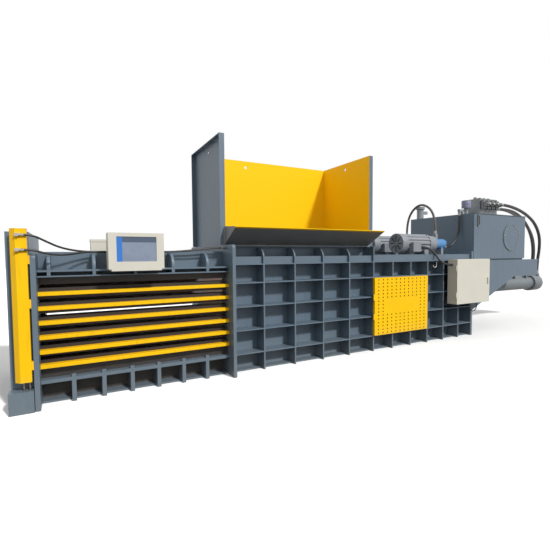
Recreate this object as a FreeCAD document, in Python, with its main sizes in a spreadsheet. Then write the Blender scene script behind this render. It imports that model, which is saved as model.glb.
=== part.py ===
import FreeCAD, Part
import math
import os
import re
import Sketcher

# Horizontal recycling baler. All lengths are in millimetres.
# X runs along the machine: the bale leaves at -X, the ram and its cylinder are at +X.
# Y runs across it: the operator's side is -Y. Z is up, and the floor is Z = 0.
# The origin is on the floor, on the centre plane, in the middle of the mid frame plate.

doc = FreeCAD.newDocument("Baler")
sheet = doc.addObject("Spreadsheet::Sheet", "Sheet")

# ---------------------------------------------------------------- driving dimensions
SIZES = [
    # side walls, floor and ribs
    ("inner_half", 545, "half the width of the bale"),
    ("wall_thick", 20, "side wall plate"),
    ("rib_depth", 235, "ribs stand out from the wall plate"),
    ("floor_top", 280, "top of the chamber floor"),
    ("floor_thick", 25, "floor plate"),
    ("chamber_height", 1130, "height of the bale"),
    ("wall_top", 1690, "top of the chamber walls and the rear frame"),
    ("press_wall_top", 1760, "top of the walls beside the feed opening"),
    ("rib_thick", 22, "upright rib plate"),
    ("cross_thick", 16, "cross rib plate"),
    ("flange_half", 720, "half width of the base flanges"),
    ("flange_thick", 20, "base flange plate"),
    ("gusset_drop", 20, "ribs end this far below the wall's top"),
    ("gusset_round", 150, "rounding of a rib's top corner"),
    # bays
    ("press_pitch", 515, "rib pitch beside the feed opening"),
    ("rear_pitch", 438, "rib pitch beside the ram housing"),
    ("cross_lowest", 259, "height of the lowest cross rib"),
    ("cross_top", 1509, "height of the top cross rib"),
    ("cross_pitch", 330, "pitch of the four lower cross ribs"),
    ("strip_height", 100, "edge strip on the top cross ribs"),
    ("strip_thick", 12, "edge strip plate"),
    ("strip_back", 40, "rib tips to edge strip"),
    # frame plates
    ("frame_half", 950, "half width of the mid and discharge frame plates"),
    ("mid_thick", 45, "mid frame plate"),
    ("mid_top", 1780, "top of the mid frame"),
    ("end_thick", 50, "discharge frame plate"),
    ("end_top", 1665, "top of the discharge frame"),
    ("rear_thick", 50, "rear frame plate that carries the cylinder"),
    ("frame_round", 45, "rounding of the frame plates' top corners"),
    # bale chamber
    ("chamber_length", 2200, "between the mid and discharge frames"),
    ("beam_front", 700, "outer face of the chamber's side beams"),
    ("bar_pitch", 160, "pitch of the tie bars"),
    ("bar_height", 41, "height of a yellow tie bar"),
    ("top_bar_z", 1228, "middle of the highest tie bar"),
    ("slot_height", 40, "wire slot between two side beams"),
    ("rail_height", 40, "lower rail"),
    ("ledge_thick", 15, "thin rail over the top tie bar"),
    ("top_rail_z", 1487, "upper face of the top rail"),
    ("top_rail_thick", 20, "top rail plate"),
    ("foot_pitch", 313.5, "pitch of the chamber's lower ribs"),
    ("foot_width", 45, "width of the chamber's lower ribs"),
    ("foot_tab", 32, "lower ribs stand above their rail"),
    ("post_pitch", 450, "pitch of the chamber's upper gussets"),
    ("post_first", 290, "first upper gusset from the mid frame"),
    ("post_width", 36, "width of an upper gusset"),
    ("roof_thick", 25, "chamber roof plate"),
    # hopper
    ("hopper_half", 650, "half width of the hopper"),
    ("hopper_length", 2600, "hopper along the machine"),
    ("hopper_top", 3300, "top of the hopper"),
    ("hopper_plate", 12, "hopper wall plate"),
    ("hopper_flange", 65, "flange round a hopper wall"),
    ("curb_thick", 20, "curb plate under the hopper"),
    ("curb_half", 665, "half width of the curb"),
    ("curb_depth", 26, "cross curb, along the machine"),
    ("lip_reach", 395, "feed lip, outward from the curb"),
    ("lip_rise", 222, "feed lip, upward from the curb"),
    ("lip_plate", 10, "feed lip plate"),
    ("lip_inset", 20, "feed lip is this much shorter than the hopper"),
    ("lip_start", -20, "left end of the feed lip"),
    ("lip_gusset_top", 2036, "top of the lip's end plates"),
    ("eye_radius", 24, "lifting holes in the hopper walls"),
    ("eye_drop", 110, "lifting holes below the hopper's top"),
    # ram
    ("ram_clear", 10, "ram to wall, roof and press floor"),
    ("ram_face", 2600, "platen face with the ram drawn back"),
    ("ram_length", 2400, "ram from face to tail"),
    ("platen_thick", 150, "platen block"),
    ("groove_depth", 110, "wire grooves in the platen"),
    ("ram_plate", 25, "ram box plate"),
    ("slide_gap", 0.5, "wear pad to floor and wall"),
    ("pad_width", 120, "wear pad strips"),
    # main cylinder
    ("cyl_z", 870, "height of the cylinder axis"),
    ("cyl_radius", 160, "cylinder barrel"),
    ("bore_radius", 130, "cylinder bore"),
    ("rod_radius", 90, "piston rod"),
    ("run_gap", 0.3, "running gap of rod and piston"),
    ("flange_radius", 275, "cylinder front flange"),
    ("flange_deep", 70, "cylinder front flange, along the axis"),
    ("barrel_end", 8650, "rear end of the barrel"),
    ("cap_radius", 205, "rear cap"),
    ("cap_length", 340, "rear cap along the axis"),
    ("port_half", 42, "half width of a square port block"),
    ("piston_length", 150, "piston"),
    ("piston_back", 20, "piston to rear cap with the ram drawn back"),
    # tank and its brackets
    ("tank_start", 5215, "left face of the oil tank"),
    ("tank_length", 1785, "oil tank along the machine"),
    ("tank_half", 800, "half width of the oil tank"),
    ("tank_bottom", 1530, "underside of the oil tank"),
    ("tank_height", 917, "oil tank"),
    ("tank_plate", 8, "tank plate"),
    ("tank_lid_edge", 15, "tank lid stands out"),
    ("bracket_end", 7540, "right end of the tank brackets"),
    ("bracket_top", 1500, "top of the tank brackets"),
    ("bracket_root_z", 507, "lower corner at the rear frame"),
    ("bracket_bend", 6640, "where the lower edge turns level"),
    ("bracket_tip_z", 1142, "level part of the lower edge"),
    ("bracket_plate", 20, "bracket plate"),
    ("cover_radius", 295, "round inspection cover"),
    ("manhole_radius", 225, "manhole under that cover"),
    ("valve_first", 725, "first valve from the tank's left face"),
    ("valve_pitch", 150, "pitch of the valves"),
    # power units
    ("motor_z", 1835, "height of the motor axes"),
    ("motor_radius", 160, "motor frame without its fins"),
    ("fin_height", 20, "motor cooling fins"),
    ("cowl_radius", 182, "fan cowl"),
    ("motor_start", 3417, "free end of the fan cowls"),
    ("cowl_length", 150, "fan cowl along the axis"),
    ("motor_length", 620, "motor frame along the axis"),
    ("bell_length", 190, "bell housing"),
    ("pump_length", 320, "pump body"),
    ("near_motor_y", -470, "near motor axis"),
    ("far_motor_y", 250, "far motor axis"),
    ("deck_thick", 12, "motor deck plate"),
    # access cover
    ("access_start", 2556, "left edge of the access cover"),
    ("access_length", 1276, "access cover along the machine"),
    ("access_low", 272, "bottom of the access cover"),
    ("access_high", 1242, "top of the access cover"),
    ("access_depth", 45, "access cover, folded depth"),
    ("sheet_thick", 4, "access cover sheet"),
    ("hole_pitch", 100, "access cover holes along the machine"),
    ("hole_row", 60, "access cover rows"),
    ("hole_radius", 15, "access cover holes"),
    # discharge door and its lock
    ("door_gap", 12, "door to discharge frame"),
    ("door_thick", 60, "door plate"),
    ("door_ribs", 150, "door ribs stand out"),
    ("door_rib", 25, "door rib plate"),
    ("door_half", 800, "half width of the door"),
    ("door_low", 120, "bottom of the door"),
    ("door_high", 1900, "top of the door"),
    ("hinge_reach", 80, "door edge to hinge axis"),
    ("hinge_radius", 30, "door hinge pin"),
    ("hinge_length", 200, "door hinge"),
    ("hinge_low", 250, "underside of the lowest door hinge"),
    ("hinge_middle", 900, "underside of the middle door hinge"),
    ("hinge_high", 1440, "underside of the highest door hinge"),
    ("column_clear", 78, "door edge to the lock column"),
    ("column_depth", 92, "lock column across the machine"),
    ("column_gap", 17.5, "discharge frame to the lock column"),
    ("column_width", 150, "lock column along the machine"),
    ("column_low", 330, "bottom of the lock column"),
    ("column_high", 1925, "top of the lock column"),
    ("column_fold", 50, "slanted left fold of the lock column"),
    ("column_sheet", 6, "lock column sheet"),
    ("lock_travel", 90, "lock bar stroke"),
    ("keeper_size", 46, "door keepers"),
    ("keeper_first", 480, "height of the lowest keeper"),
    ("keeper_pitch", 450, "pitch of the keepers"),
    ("tooth_gap", 8, "lock tooth beside a keeper"),
    ("lock_low", 430, "lower end of the lock bar"),
    ("lock_high", 1500, "upper end of the lock bar"),
    ("pin_low", 180, "lower end of the lock pins"),
    ("block_top", 230, "top of the base block"),
    # electrical cabinet and console
    ("cabinet_start", 4408, "left side of the cabinet"),
    ("cabinet_length", 980, "cabinet along the machine"),
    ("cabinet_low", 690, "bottom of the cabinet"),
    ("cabinet_height", 842, "cabinet"),
    ("cabinet_depth", 205, "cabinet body"),
    ("cabinet_gap", 25, "cabinet body to ribs"),
    ("case_sheet", 6, "cabinet and console sheet"),
    ("console_start", -1530, "left side of the console"),
    ("console_length", 604, "console along the machine"),
    ("console_height", 410, "console"),
    ("console_depth", 240, "console"),
    ("console_border", 85, "frame round the console window"),
    # hoses and cables
    ("hose_size", 70, "main hoses"),
    ("loop_size", 45, "pump hoses"),
    ("cable_size", 38, "conduit from the cabinet to the motors"),
    ("thin_cable_size", 18, "cable loop under the cabinet"),
    ("lock_hose_size", 22, "hoses of the door lock"),
]

# Places that follow from the sizes above.
DERIVED = [
    ("strip_low", "cross_top + cross_thick / 2", "lower edge of the edge strips"),
    ("rear_top", "strip_low + strip_height", "top of the walls beside the ram housing"),
    ("lip_length", "hopper_length - lip_inset", "feed lip along the machine"),
    ("hinge_y", "door_half + hinge_reach", "door hinge axis"),
    ("column_back", "door_half + column_clear", "back edge of the lock column"),
    ("column_front", "column_back + column_depth", "front face of the lock column"),
    ("column_right", "-mid_thick / 2 - chamber_length - end_thick - column_gap", "right side of the lock column"),
    ("column_left", "column_right - column_width", "left side of the lock column"),
]

for row, (alias, value, words) in enumerate(SIZES + DERIVED, start=1):
    sheet.set("A%d" % row, words)
    sheet.set("B%d" % row, "=" + value if isinstance(value, str) else str(value))
    sheet.setAlias("B%d" % row, alias)
doc.recompute()

ALIASES = sorted((alias for alias, value, words in SIZES + DERIVED), key=len, reverse=True)
NAME = re.compile(r"\b(" + "|".join(ALIASES) + r")\b")
SIZE = {alias: float(value) for alias, value, words in SIZES}


def bound(text):
    """Turn words such as 'inner_half + wall_thick' into a sheet expression."""
    return NAME.sub(r"Sheet.\1", str(text))


def number(text):
    """The value of such an expression."""
    return float(sheet.evalExpression(bound(text)))


def place(thing, x="0", y="0", z="0"):
    for axis, words in zip("xyz", (x, y, z)):
        thing.setExpression("Placement.Base." + axis, bound(words))


def box(label, x, y, z):
    """A plate or block between two bounds on each axis."""
    thing = doc.addObject("Part::Box", label)
    for side, (low, high) in zip(("Length", "Width", "Height"), (x, y, z)):
        thing.setExpression(side, bound("(%s) - (%s)" % (high, low)))
    place(thing, x[0], y[0], z[0])
    return thing


AXES = {"x": FreeCAD.Rotation(0, 90, 0), "y": FreeCAD.Rotation(0, 0, -90), "z": FreeCAD.Rotation()}


def rod(label, axis, start, radius, length):
    """A cylinder from its start point along +X, +Y or +Z."""
    thing = doc.addObject("Part::Cylinder", label)
    thing.Placement = FreeCAD.Placement(FreeCAD.Vector(), AXES[axis])
    thing.setExpression("Radius", bound(radius))
    thing.setExpression("Height", bound(length))
    place(thing, *start)
    return thing


def prism(label, axis, start, radius, length, sides=6):
    """A bar with flat sides, such as a hexagon fitting. radius is to its corners."""
    thing = doc.addObject("Part::Prism", label)
    thing.Polygon = sides
    thing.Placement = FreeCAD.Placement(FreeCAD.Vector(), AXES[axis])
    thing.setExpression("Circumradius", bound(radius))
    thing.setExpression("Height", bound(length))
    place(thing, *start)
    return thing


def cut(label, base, *tools):
    thing = doc.addObject("Part::Cut", label)
    thing.Base = base
    thing.Tool = tools[0] if len(tools) == 1 else group(label + "_tools", tools)
    return thing


def fuse(label, *shapes):
    thing = doc.addObject("Part::MultiFuse", label)
    thing.Shapes = list(shapes)
    thing.Refine = True
    return thing


def group(label, shapes):
    """Separate solids that share one name."""
    thing = doc.addObject("Part::Compound", label)
    thing.Links = list(shapes)
    return thing


PLANES = {"YZ": "YZ_Plane", "XZ": "XZ_Plane", "XY": "XY_Plane"}


def profile(label, plane, outline, low, high, rounded=()):
    """A plate cut to an outline of (across, up) points and padded from low to high.

    The plane's normal is X for YZ, Y for XZ and Z for XY. Corners named in rounded,
    as (index of the point, radius), get a fillet.
    """
    body = doc.addObject("PartDesign::Body", label + "_body")
    sketch = body.newObject("Sketcher::SketchObject", label + "_sketch")
    role = PLANES[plane]
    sketch.AttachmentSupport = [next(f for f in body.Origin.OriginFeatures if f.Role == role), ""]
    sketch.MapMode = "FlatFace"
    spots = [FreeCAD.Vector(number(a), number(b), 0) for a, b in outline]
    count = len(spots)
    for index in range(count):
        sketch.addGeometry(Part.LineSegment(spots[index], spots[(index + 1) % count]), False)
    for index in range(count):
        sketch.addConstraint(Sketcher.Constraint("Coincident", index, 2, (index + 1) % count, 1))
    for index, (across, up) in enumerate(outline):
        for kind, words in (("DistanceX", across), ("DistanceY", up)):
            rule = sketch.addConstraint(
                Sketcher.Constraint(kind, -1, 1, index, 1, number(words)))
            sketch.setExpression("Constraints[%d]" % rule, bound(words))
    if plane == "XZ":
        sketch.setExpression("AttachmentOffset.Base.z", bound("-(%s)" % high))
    else:
        sketch.setExpression("AttachmentOffset.Base.z", bound(low))
    pad = body.newObject("PartDesign::Pad", label + "_pad")
    pad.Profile = sketch
    pad.setExpression("Length", bound("(%s) - (%s)" % (high, low)))
    body.Tip = pad
    if rounded:
        doc.recompute()
        for corner, radius in rounded:
            solid = body.Tip
            fillet = body.newObject("PartDesign::Fillet", label + "_round")
            fillet.Base = (solid, [corner_edge(solid.Shape, plane, spots[corner])])
            fillet.setExpression("Radius", bound(radius))
            body.Tip = fillet
            doc.recompute()
    return body


def corner_edge(shape, plane, spot):
    """The edge of a pad that runs along its normal through one corner of its outline."""
    pick = {"YZ": lambda p: (p.y, p.z), "XZ": lambda p: (p.x, p.z), "XY": lambda p: (p.x, p.y)}[plane]
    for index, edge in enumerate(shape.Edges, start=1):
        ends = [pick(vertex.Point) for vertex in edge.Vertexes]
        if len(ends) == 2 and all(math.hypot(a - spot.x, b - spot.y) < 1e-4 for a, b in ends):
            return "Edge%d" % index
    raise ValueError("no edge at the corner")


nodes = {}


def node(name, thing):
    """Name a finished sub-part: its label is its node and its file."""
    thing.Label = name
    nodes[name] = thing
    return thing


def side(words, near):
    """Bounds across the machine, given for the far side, on the near or the far side."""
    low, high = words
    return ("-(%s)" % high, "-(%s)" % low) if near else (low, high)


NEAR_FAR = (("near", True), ("far", False))
WALL_OUT = "(inner_half + wall_thick)"
RIB_TIP = "(inner_half + wall_thick + rib_depth)"
ROOF_UNDER = "(floor_top + chamber_height)"
MID_LEFT = "(-mid_thick / 2)"
MID_RIGHT = "(mid_thick / 2)"
END_RIGHT = "(-mid_thick / 2 - chamber_length)"
END_LEFT = "(-mid_thick / 2 - chamber_length - end_thick)"
PRESS_BAYS = 5
REAR_BAYS = 6
PRESS_END = "(%d * press_pitch)" % PRESS_BAYS
REAR_END = "(%d * press_pitch + %d * rear_pitch)" % (PRESS_BAYS, REAR_BAYS)
REAR_LEFT = "(%s - rear_thick)" % REAR_END

# ---------------------------------------------------------------- floor and underframe
# The floor plate stops at the mid frame, so it is two lengths. Cross bearers stand under it
# at every rib, and a base flange runs along each side between the ribs' feet.
FLOOR_LOW = "(floor_top - floor_thick)"
node("floor_plate", group("floor_plate", [
    box("floor_left", (END_RIGHT, MID_LEFT), ("-inner_half", "inner_half"), (FLOOR_LOW, "floor_top")),
    box("floor_right", (MID_RIGHT, REAR_LEFT), ("-inner_half", "inner_half"), (FLOOR_LOW, "floor_top"))]))


def foot_x(index):
    return "(%s - %d * foot_pitch)" % (MID_LEFT, index)


def rib_x(index):
    """Middle of an upright rib, counted from the mid frame to the rear end."""
    if index <= PRESS_BAYS:
        return "(%d * press_pitch)" % index
    return "(%s + %d * rear_pitch)" % (PRESS_END, index - PRESS_BAYS)


FOOT_COUNT = int((SIZE["chamber_length"] - SIZE["foot_width"]) / SIZE["foot_pitch"])
RIB_COUNT = PRESS_BAYS + REAR_BAYS - 1
underframe = []
for index in range(1, FOOT_COUNT + 1):
    middle = foot_x(index)
    underframe.append(box("bearer_left_%d" % index, (middle + " - rib_thick / 2", middle + " + rib_thick / 2"),
                          ("-inner_half", "inner_half"), ("flange_thick", FLOOR_LOW)))
for index in range(1, RIB_COUNT + 1):
    middle = rib_x(index)
    underframe.append(box("bearer_right_%d" % index, (middle + " - rib_thick / 2", middle + " + rib_thick / 2"),
                          ("-inner_half", "inner_half"), ("flange_thick", FLOOR_LOW)))
for name, start, stop in (("left", END_RIGHT, MID_LEFT), ("right", MID_RIGHT, REAR_LEFT)):
    underframe.append(box("base_plate_" + name, (start, stop), ("-flange_half", "flange_half"),
                          ("0", "flange_thick")))
node("underframe", group("underframe", underframe))

# ---------------------------------------------------------------- frame plates
# Thick upright plates with a window for the bale: one at the discharge end, one between the
# bale chamber and the feed opening, and one at the rear that carries the cylinder.
WINDOW = (("-inner_half", "inner_half"), ("floor_top", ROOF_UNDER))
FRAME_OUTLINE = [("-frame_half", "0"), ("frame_half", "0")]


def frame_plate(name, x, top):
    plate = profile(name + "_plate", "YZ", FRAME_OUTLINE + [("frame_half", top), ("-frame_half", top)],
                    x[0], x[1], rounded=((2, "frame_round"), (3, "frame_round")))
    window = box(name + "_window", ("%s - 10" % x[0], "%s + 10" % x[1]), *WINDOW)
    return cut(name, plate, window)


node("discharge_frame", frame_plate("discharge_frame", (END_LEFT, END_RIGHT), "end_top"))
LOCK_STUB = "(%s - 40)" % MID_LEFT
LOCK_STUBS = (("-670", "1740"), ("-715", "1738"))
node("mid_frame", group("mid_frame", [frame_plate("mid_frame_cut", (MID_LEFT, MID_RIGHT), "mid_top")] + [
    rod("lock_stub_%d" % index, "x", (LOCK_STUB, y, z), "16", "40") for index, (y, z) in enumerate(LOCK_STUBS)]))
OUTER_HALF = "max(%s; tank_half)" % RIB_TIP
rear_plate = box("rear_plate", (REAR_LEFT, REAR_END), ("-tank_half", "tank_half"), ("0", "wall_top"))
rear_bore = rod("rear_bore", "x", ("%s - 10" % REAR_LEFT, "0", "cyl_z"), "rod_radius + 20", "rear_thick + 20")
node("rear_frame", cut("rear_frame", rear_plate, rear_bore))

# ---------------------------------------------------------------- bale chamber
# Each side is a stack of heavy beams with wire slots between them. A yellow tie bar stands
# out from the middle of each beam. The lowest beam reaches down to the rail.
BAR_COUNT = 6


def bar_z(index):
    return "(top_bar_z - %d * bar_pitch)" % index


def slot_z(index):
    """Middle of the wire slot above a tie bar."""
    return "(%s + bar_pitch / 2)" % bar_z(index)


for name, near in NEAR_FAR:
    beams = [box("beam_top_" + name, (END_RIGHT, MID_LEFT), side(("inner_half", "beam_front"), near),
                 (slot_z(0) + " + slot_height / 2", ROOF_UNDER))]
    bars = []
    for index in range(BAR_COUNT):
        low = "%s + slot_height / 2" % slot_z(index + 1) if index < BAR_COUNT - 1 else "floor_top"
        beams.append(box("beam_%s_%d" % (name, index), (END_RIGHT, MID_LEFT),
                         side(("inner_half", "beam_front"), near), (low, slot_z(index) + " - slot_height / 2")))
        bars.append(box("bar_%s_%d" % (name, index), (END_RIGHT, MID_LEFT), side(("beam_front", RIB_TIP), near),
                        (bar_z(index) + " - bar_height / 2", bar_z(index) + " + bar_height / 2")))
    beams.append(box("beam_foot_" + name, (END_RIGHT, MID_LEFT), side(("inner_half", WALL_OUT), near),
                     ("flange_thick", "floor_top")))
    node("chamber_beams_" + name, group("chamber_beams_" + name, beams))
    node("tie_bars_" + name, group("tie_bars_" + name, bars))

rails = []
gussets = []
POST_COUNT = int((SIZE["chamber_length"] - SIZE["post_first"]) / SIZE["post_pitch"]) + 1
for name, near in NEAR_FAR:
    rails.append(box("low_rail_" + name, (END_RIGHT, MID_LEFT), side((WALL_OUT, RIB_TIP), near),
                     ("floor_top - rail_height", "floor_top")))
    rails.append(box("ledge_" + name, (END_RIGHT, MID_LEFT), side(("inner_half", RIB_TIP), near),
                     (ROOF_UNDER, ROOF_UNDER + " + ledge_thick")))
    rails.append(box("top_rail_" + name, (END_RIGHT, MID_LEFT), side((WALL_OUT, RIB_TIP), near),
                     ("top_rail_z - top_rail_thick", "top_rail_z")))
    for index in range(1, FOOT_COUNT + 1):
        middle = foot_x(index)
        span = (middle + " - foot_width / 2", middle + " + foot_width / 2")
        foot = box("foot_%s_%d" % (name, index), span, side((WALL_OUT, RIB_TIP), near),
                   ("0", "floor_top - rail_height"))
        notch = box("foot_notch_%s_%d" % (name, index), (span[0] + " - 5", span[1] + " + 5"),
                    side(("inner_half", "flange_half"), near), ("-5", "flange_thick"))
        rails.append(cut("foot_cut_%s_%d" % (name, index), foot, notch))
        rails.append(box("tab_%s_%d" % (name, index), span, side((RIB_TIP + " - 40", RIB_TIP), near),
                        ("floor_top", "floor_top + foot_tab")))
    for index in range(POST_COUNT):
        middle = "(%s - post_first - %d * post_pitch)" % (MID_LEFT, index)
        span = (middle + " - post_width / 2", middle + " + post_width / 2")
        gussets.append(box("post_%s_%d" % (name, index), span, side((WALL_OUT, RIB_TIP), near),
                           (ROOF_UNDER + " + ledge_thick", "top_rail_z - top_rail_thick")))
        sign = "-" if near else ""
        gussets.append(profile("gusset_%s_%d" % (name, index), "YZ", [
            (sign + WALL_OUT, "top_rail_z"), (sign + RIB_TIP, "top_rail_z"),
            (sign + RIB_TIP, "wall_top - gusset_drop"), (sign + WALL_OUT, "wall_top - gusset_drop")],
            span[0], span[1], rounded=((2, "gusset_round"),)))
node("chamber_rails", group("chamber_rails", rails))
node("chamber_gussets", group("chamber_gussets", gussets))

# The roof is a plate between the ledges with side strips and cross ribs on it.
ROOF_TOP = "(%s + roof_thick)" % ROOF_UNDER
roof = [box("roof_plate", (END_RIGHT, MID_LEFT), ("-inner_half", "inner_half"), (ROOF_UNDER, ROOF_TOP))]
for name, near in NEAR_FAR:
    roof.append(box("roof_side_" + name, (END_RIGHT, MID_LEFT), side(("inner_half", WALL_OUT), near),
                    (ROOF_UNDER + " + ledge_thick", "wall_top")))
for index in range(POST_COUNT):
    middle = "(%s - post_first - %d * post_pitch)" % (MID_LEFT, index)
    roof.append(box("roof_rib_%d" % index, (middle + " - rib_thick / 2", middle + " + rib_thick / 2"),
                    ("-inner_half", "inner_half"), (ROOF_TOP, "wall_top")))
node("chamber_roof", group("chamber_roof", roof))

# ---------------------------------------------------------------- walls beside feed opening and ram
# A wall plate with upright ribs and short cross ribs between them. The walls and ribs are
# higher beside the feed opening, where all but the last rib have a rounded outer corner. An
# edge strip stands on the top cross ribs and carries the motor deck's edge.
STRIP_OUT = "(%s - strip_back)" % RIB_TIP
CROSS_HEIGHTS = ["cross_top"] + ["(cross_lowest + %d * cross_pitch)" % step for step in (3, 2, 1, 0)]


def rib_top(index):
    """Top of an upright rib and the rounding of its outer corner."""
    if index < PRESS_BAYS:
        return "(press_wall_top - gusset_drop)", ((4, "gusset_round"),)
    return ("press_wall_top" if index == PRESS_BAYS else "strip_low"), ()


for name, near in NEAR_FAR:
    sign = "-" if near else ""
    across = side(("inner_half", WALL_OUT), near)
    node("side_wall_" + name, fuse("side_wall_" + name,
         box("wall_press_" + name, (MID_RIGHT, PRESS_END), across, ("flange_thick", "press_wall_top")),
         box("wall_rear_" + name, (PRESS_END, REAR_LEFT), across, ("flange_thick", "rear_top"))))
    uprights = []
    for index in range(1, RIB_COUNT + 1):
        middle = rib_x(index)
        top, rounded = rib_top(index)
        uprights.append(profile("upright_%s_%d" % (name, index), "YZ", [
            (sign + WALL_OUT, "flange_thick"), (sign + "flange_half", "flange_thick"),
            (sign + "flange_half", "0"), (sign + RIB_TIP, "0"), (sign + RIB_TIP, top), (sign + WALL_OUT, top)],
            middle + " - rib_thick / 2", middle + " + rib_thick / 2", rounded=rounded))
    node("upright_ribs_" + name, group("upright_ribs_" + name, uprights))
    crosses = []
    for bay in range(RIB_COUNT + 1):
        start = MID_RIGHT if bay == 0 else rib_x(bay) + " + rib_thick / 2"
        stop = REAR_LEFT if bay == RIB_COUNT else rib_x(bay + 1) + " - rib_thick / 2"
        for level, height in enumerate(CROSS_HEIGHTS):
            crosses.append(box("cross_%s_%d_%d" % (name, bay, level), (start, stop),
                               side((WALL_OUT, RIB_TIP), near),
                               (height + " - cross_thick / 2", height + " + cross_thick / 2")))
        if bay <= PRESS_BAYS:
            stop = REAR_LEFT if bay == PRESS_BAYS else stop
            crosses.append(box("edge_strip_%s_%d" % (name, bay), (start, stop),
                               side((STRIP_OUT + " - strip_thick", STRIP_OUT), near), ("strip_low", "rear_top")))
    node("cross_ribs_" + name, group("cross_ribs_" + name, crosses))

node("motor_deck", box("motor_deck", ("hopper_length + hopper_plate", REAR_LEFT),
                       ("-" + STRIP_OUT, STRIP_OUT), ("rear_top", "rear_top + deck_thick")))

# ---------------------------------------------------------------- hopper
# A curb on the walls carries three upright plates, flanged outwards, and a feed lip that
# slants up and out on the operator's side between two triangular end plates.
CURB_LOW = "(mid_top - curb_thick)"
HOPPER_RIGHT = "hopper_length"
BACK_OUT = "(hopper_half + hopper_plate)"
curb = []
for name, near in NEAR_FAR:
    curb.append(box("curb_" + name, (MID_RIGHT, "hopper_length + hopper_plate"),
                    side(("inner_half", "curb_half"), near), (CURB_LOW, "mid_top")))
curb.append(box("curb_cross", ("hopper_length + hopper_plate - curb_depth", "hopper_length + hopper_plate"),
                ("-inner_half", "inner_half"), ("rear_top", "mid_top")))
node("hopper_curb", group("hopper_curb", curb))


def end_wall(name, inner, outer, flange):
    """An end wall of the hopper: a plate with flanges on three edges and a lifting hole."""
    plate = box(name + "_plate", (min(inner, outer, key=number), max(inner, outer, key=number)),
                ("-hopper_half", BACK_OUT), ("mid_top", "hopper_top"))
    edge = (min(outer, flange, key=number), max(outer, flange, key=number))
    under = ("mid_top", "hopper_top - hopper_plate")
    front = box(name + "_front", edge, ("-hopper_half", "-hopper_half + hopper_plate"), under)
    back = box(name + "_back", edge, ("hopper_half", BACK_OUT), under)
    top = box(name + "_top", edge, ("-hopper_half", BACK_OUT), ("hopper_top - hopper_plate", "hopper_top"))
    eye = rod(name + "_eye", "x", ("%s - 10" % min(inner, outer, key=number), "0", "hopper_top - eye_drop"),
              "eye_radius", "hopper_plate + 20")
    return group(name, [cut(name + "_holed", plate, eye), front, back, top])


node("hopper_left_wall", end_wall("hopper_left_wall", "0", "-hopper_plate", "-hopper_plate - hopper_flange"))
node("hopper_right_wall", end_wall("hopper_right_wall", HOPPER_RIGHT, "hopper_length + hopper_plate",
                                   "hopper_length + hopper_plate + hopper_flange"))
back_parts = [box("back_plate", ("0", HOPPER_RIGHT), ("hopper_half", BACK_OUT), ("mid_top", "hopper_top")),
              box("back_top", ("0", HOPPER_RIGHT), (BACK_OUT, BACK_OUT + " + hopper_flange"),
                  ("hopper_top - hopper_plate", "hopper_top"))]
STIFFENERS = 3
for index in range(1, STIFFENERS + 1):
    middle = "(%d * hopper_length / %d)" % (index, STIFFENERS + 1)
    back_parts.append(box("back_rib_%d" % index, (middle + " - hopper_plate / 2", middle + " + hopper_plate / 2"),
                          (BACK_OUT, BACK_OUT + " + hopper_flange"), ("mid_top", "hopper_top - hopper_plate")))
back_eye = rod("back_eye", "y", ("hopper_length / 2 - 400", "hopper_half - 10", "hopper_top - eye_drop"),
               "eye_radius", "hopper_plate + 20")
back_parts[0] = cut("back_holed", back_parts[0], back_eye)
node("hopper_back_wall", group("hopper_back_wall", back_parts))

LIP_Y = "(-curb_half - lip_reach)"
lip_sheet = profile("lip_sheet", "YZ", [
    ("-curb_half", "mid_top"), (LIP_Y, "mid_top + lip_rise"),
    (LIP_Y, "mid_top + lip_rise + lip_plate"), ("-curb_half", "mid_top + lip_plate")],
    "lip_start", "lip_start + lip_length")
lip_parts = [lip_sheet]
for name, start in (("left", "lip_start"), ("right", "lip_start + lip_length - lip_plate")):
    lip_parts.append(profile("lip_end_" + name, "YZ", [
        ("-curb_half", "mid_top"), (LIP_Y, "mid_top + lip_rise"), (LIP_Y, "mid_top + lip_rise + lip_plate"),
        ("-curb_half", "lip_gusset_top")], start, "(%s) + lip_plate" % start))
node("hopper_lip", fuse("hopper_lip", *lip_parts))

# ---------------------------------------------------------------- ram
# A platen with wire grooves on the front of a box of plates. It slides on wear pads.
RAM_HALF = "(inner_half - ram_clear)"
RAM_LOW = "(floor_top + ram_clear)"
RAM_HIGH = "(%s - ram_clear)" % ROOF_UNDER
PLATEN_BACK = "(ram_face + platen_thick)"
RAM_TAIL = "(ram_face + ram_length)"
platen = box("platen_block", ("ram_face", PLATEN_BACK), ("-" + RAM_HALF, RAM_HALF), (RAM_LOW, RAM_HIGH))
grooves = [box("groove_%d" % index, ("ram_face - 5", "ram_face + groove_depth"),
               ("-inner_half", "inner_half"),
               (slot_z(index) + " - slot_height / 2", slot_z(index) + " + slot_height / 2"))
           for index in range(BAR_COUNT)]
node("ram_platen", cut("ram_platen", platen, *grooves))
ram = [
    box("ram_top", (PLATEN_BACK, RAM_TAIL), ("-" + RAM_HALF, RAM_HALF), (RAM_HIGH + " - ram_plate", RAM_HIGH)),
    box("ram_bottom", (PLATEN_BACK, RAM_TAIL), ("-" + RAM_HALF, RAM_HALF), (RAM_LOW, RAM_LOW + " + ram_plate")),
    box("ram_tail", (RAM_TAIL + " - 2 * ram_plate", RAM_TAIL), ("-%s + ram_plate" % RAM_HALF, RAM_HALF + " - ram_plate"),
        (RAM_LOW + " + ram_plate", RAM_HIGH + " - ram_plate"))]
for name, near in NEAR_FAR:
    ram.append(box("ram_side_" + name, (PLATEN_BACK, RAM_TAIL), side((RAM_HALF + " - ram_plate", RAM_HALF), near),
                   (RAM_LOW + " + ram_plate", RAM_HIGH + " - ram_plate")))
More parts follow.
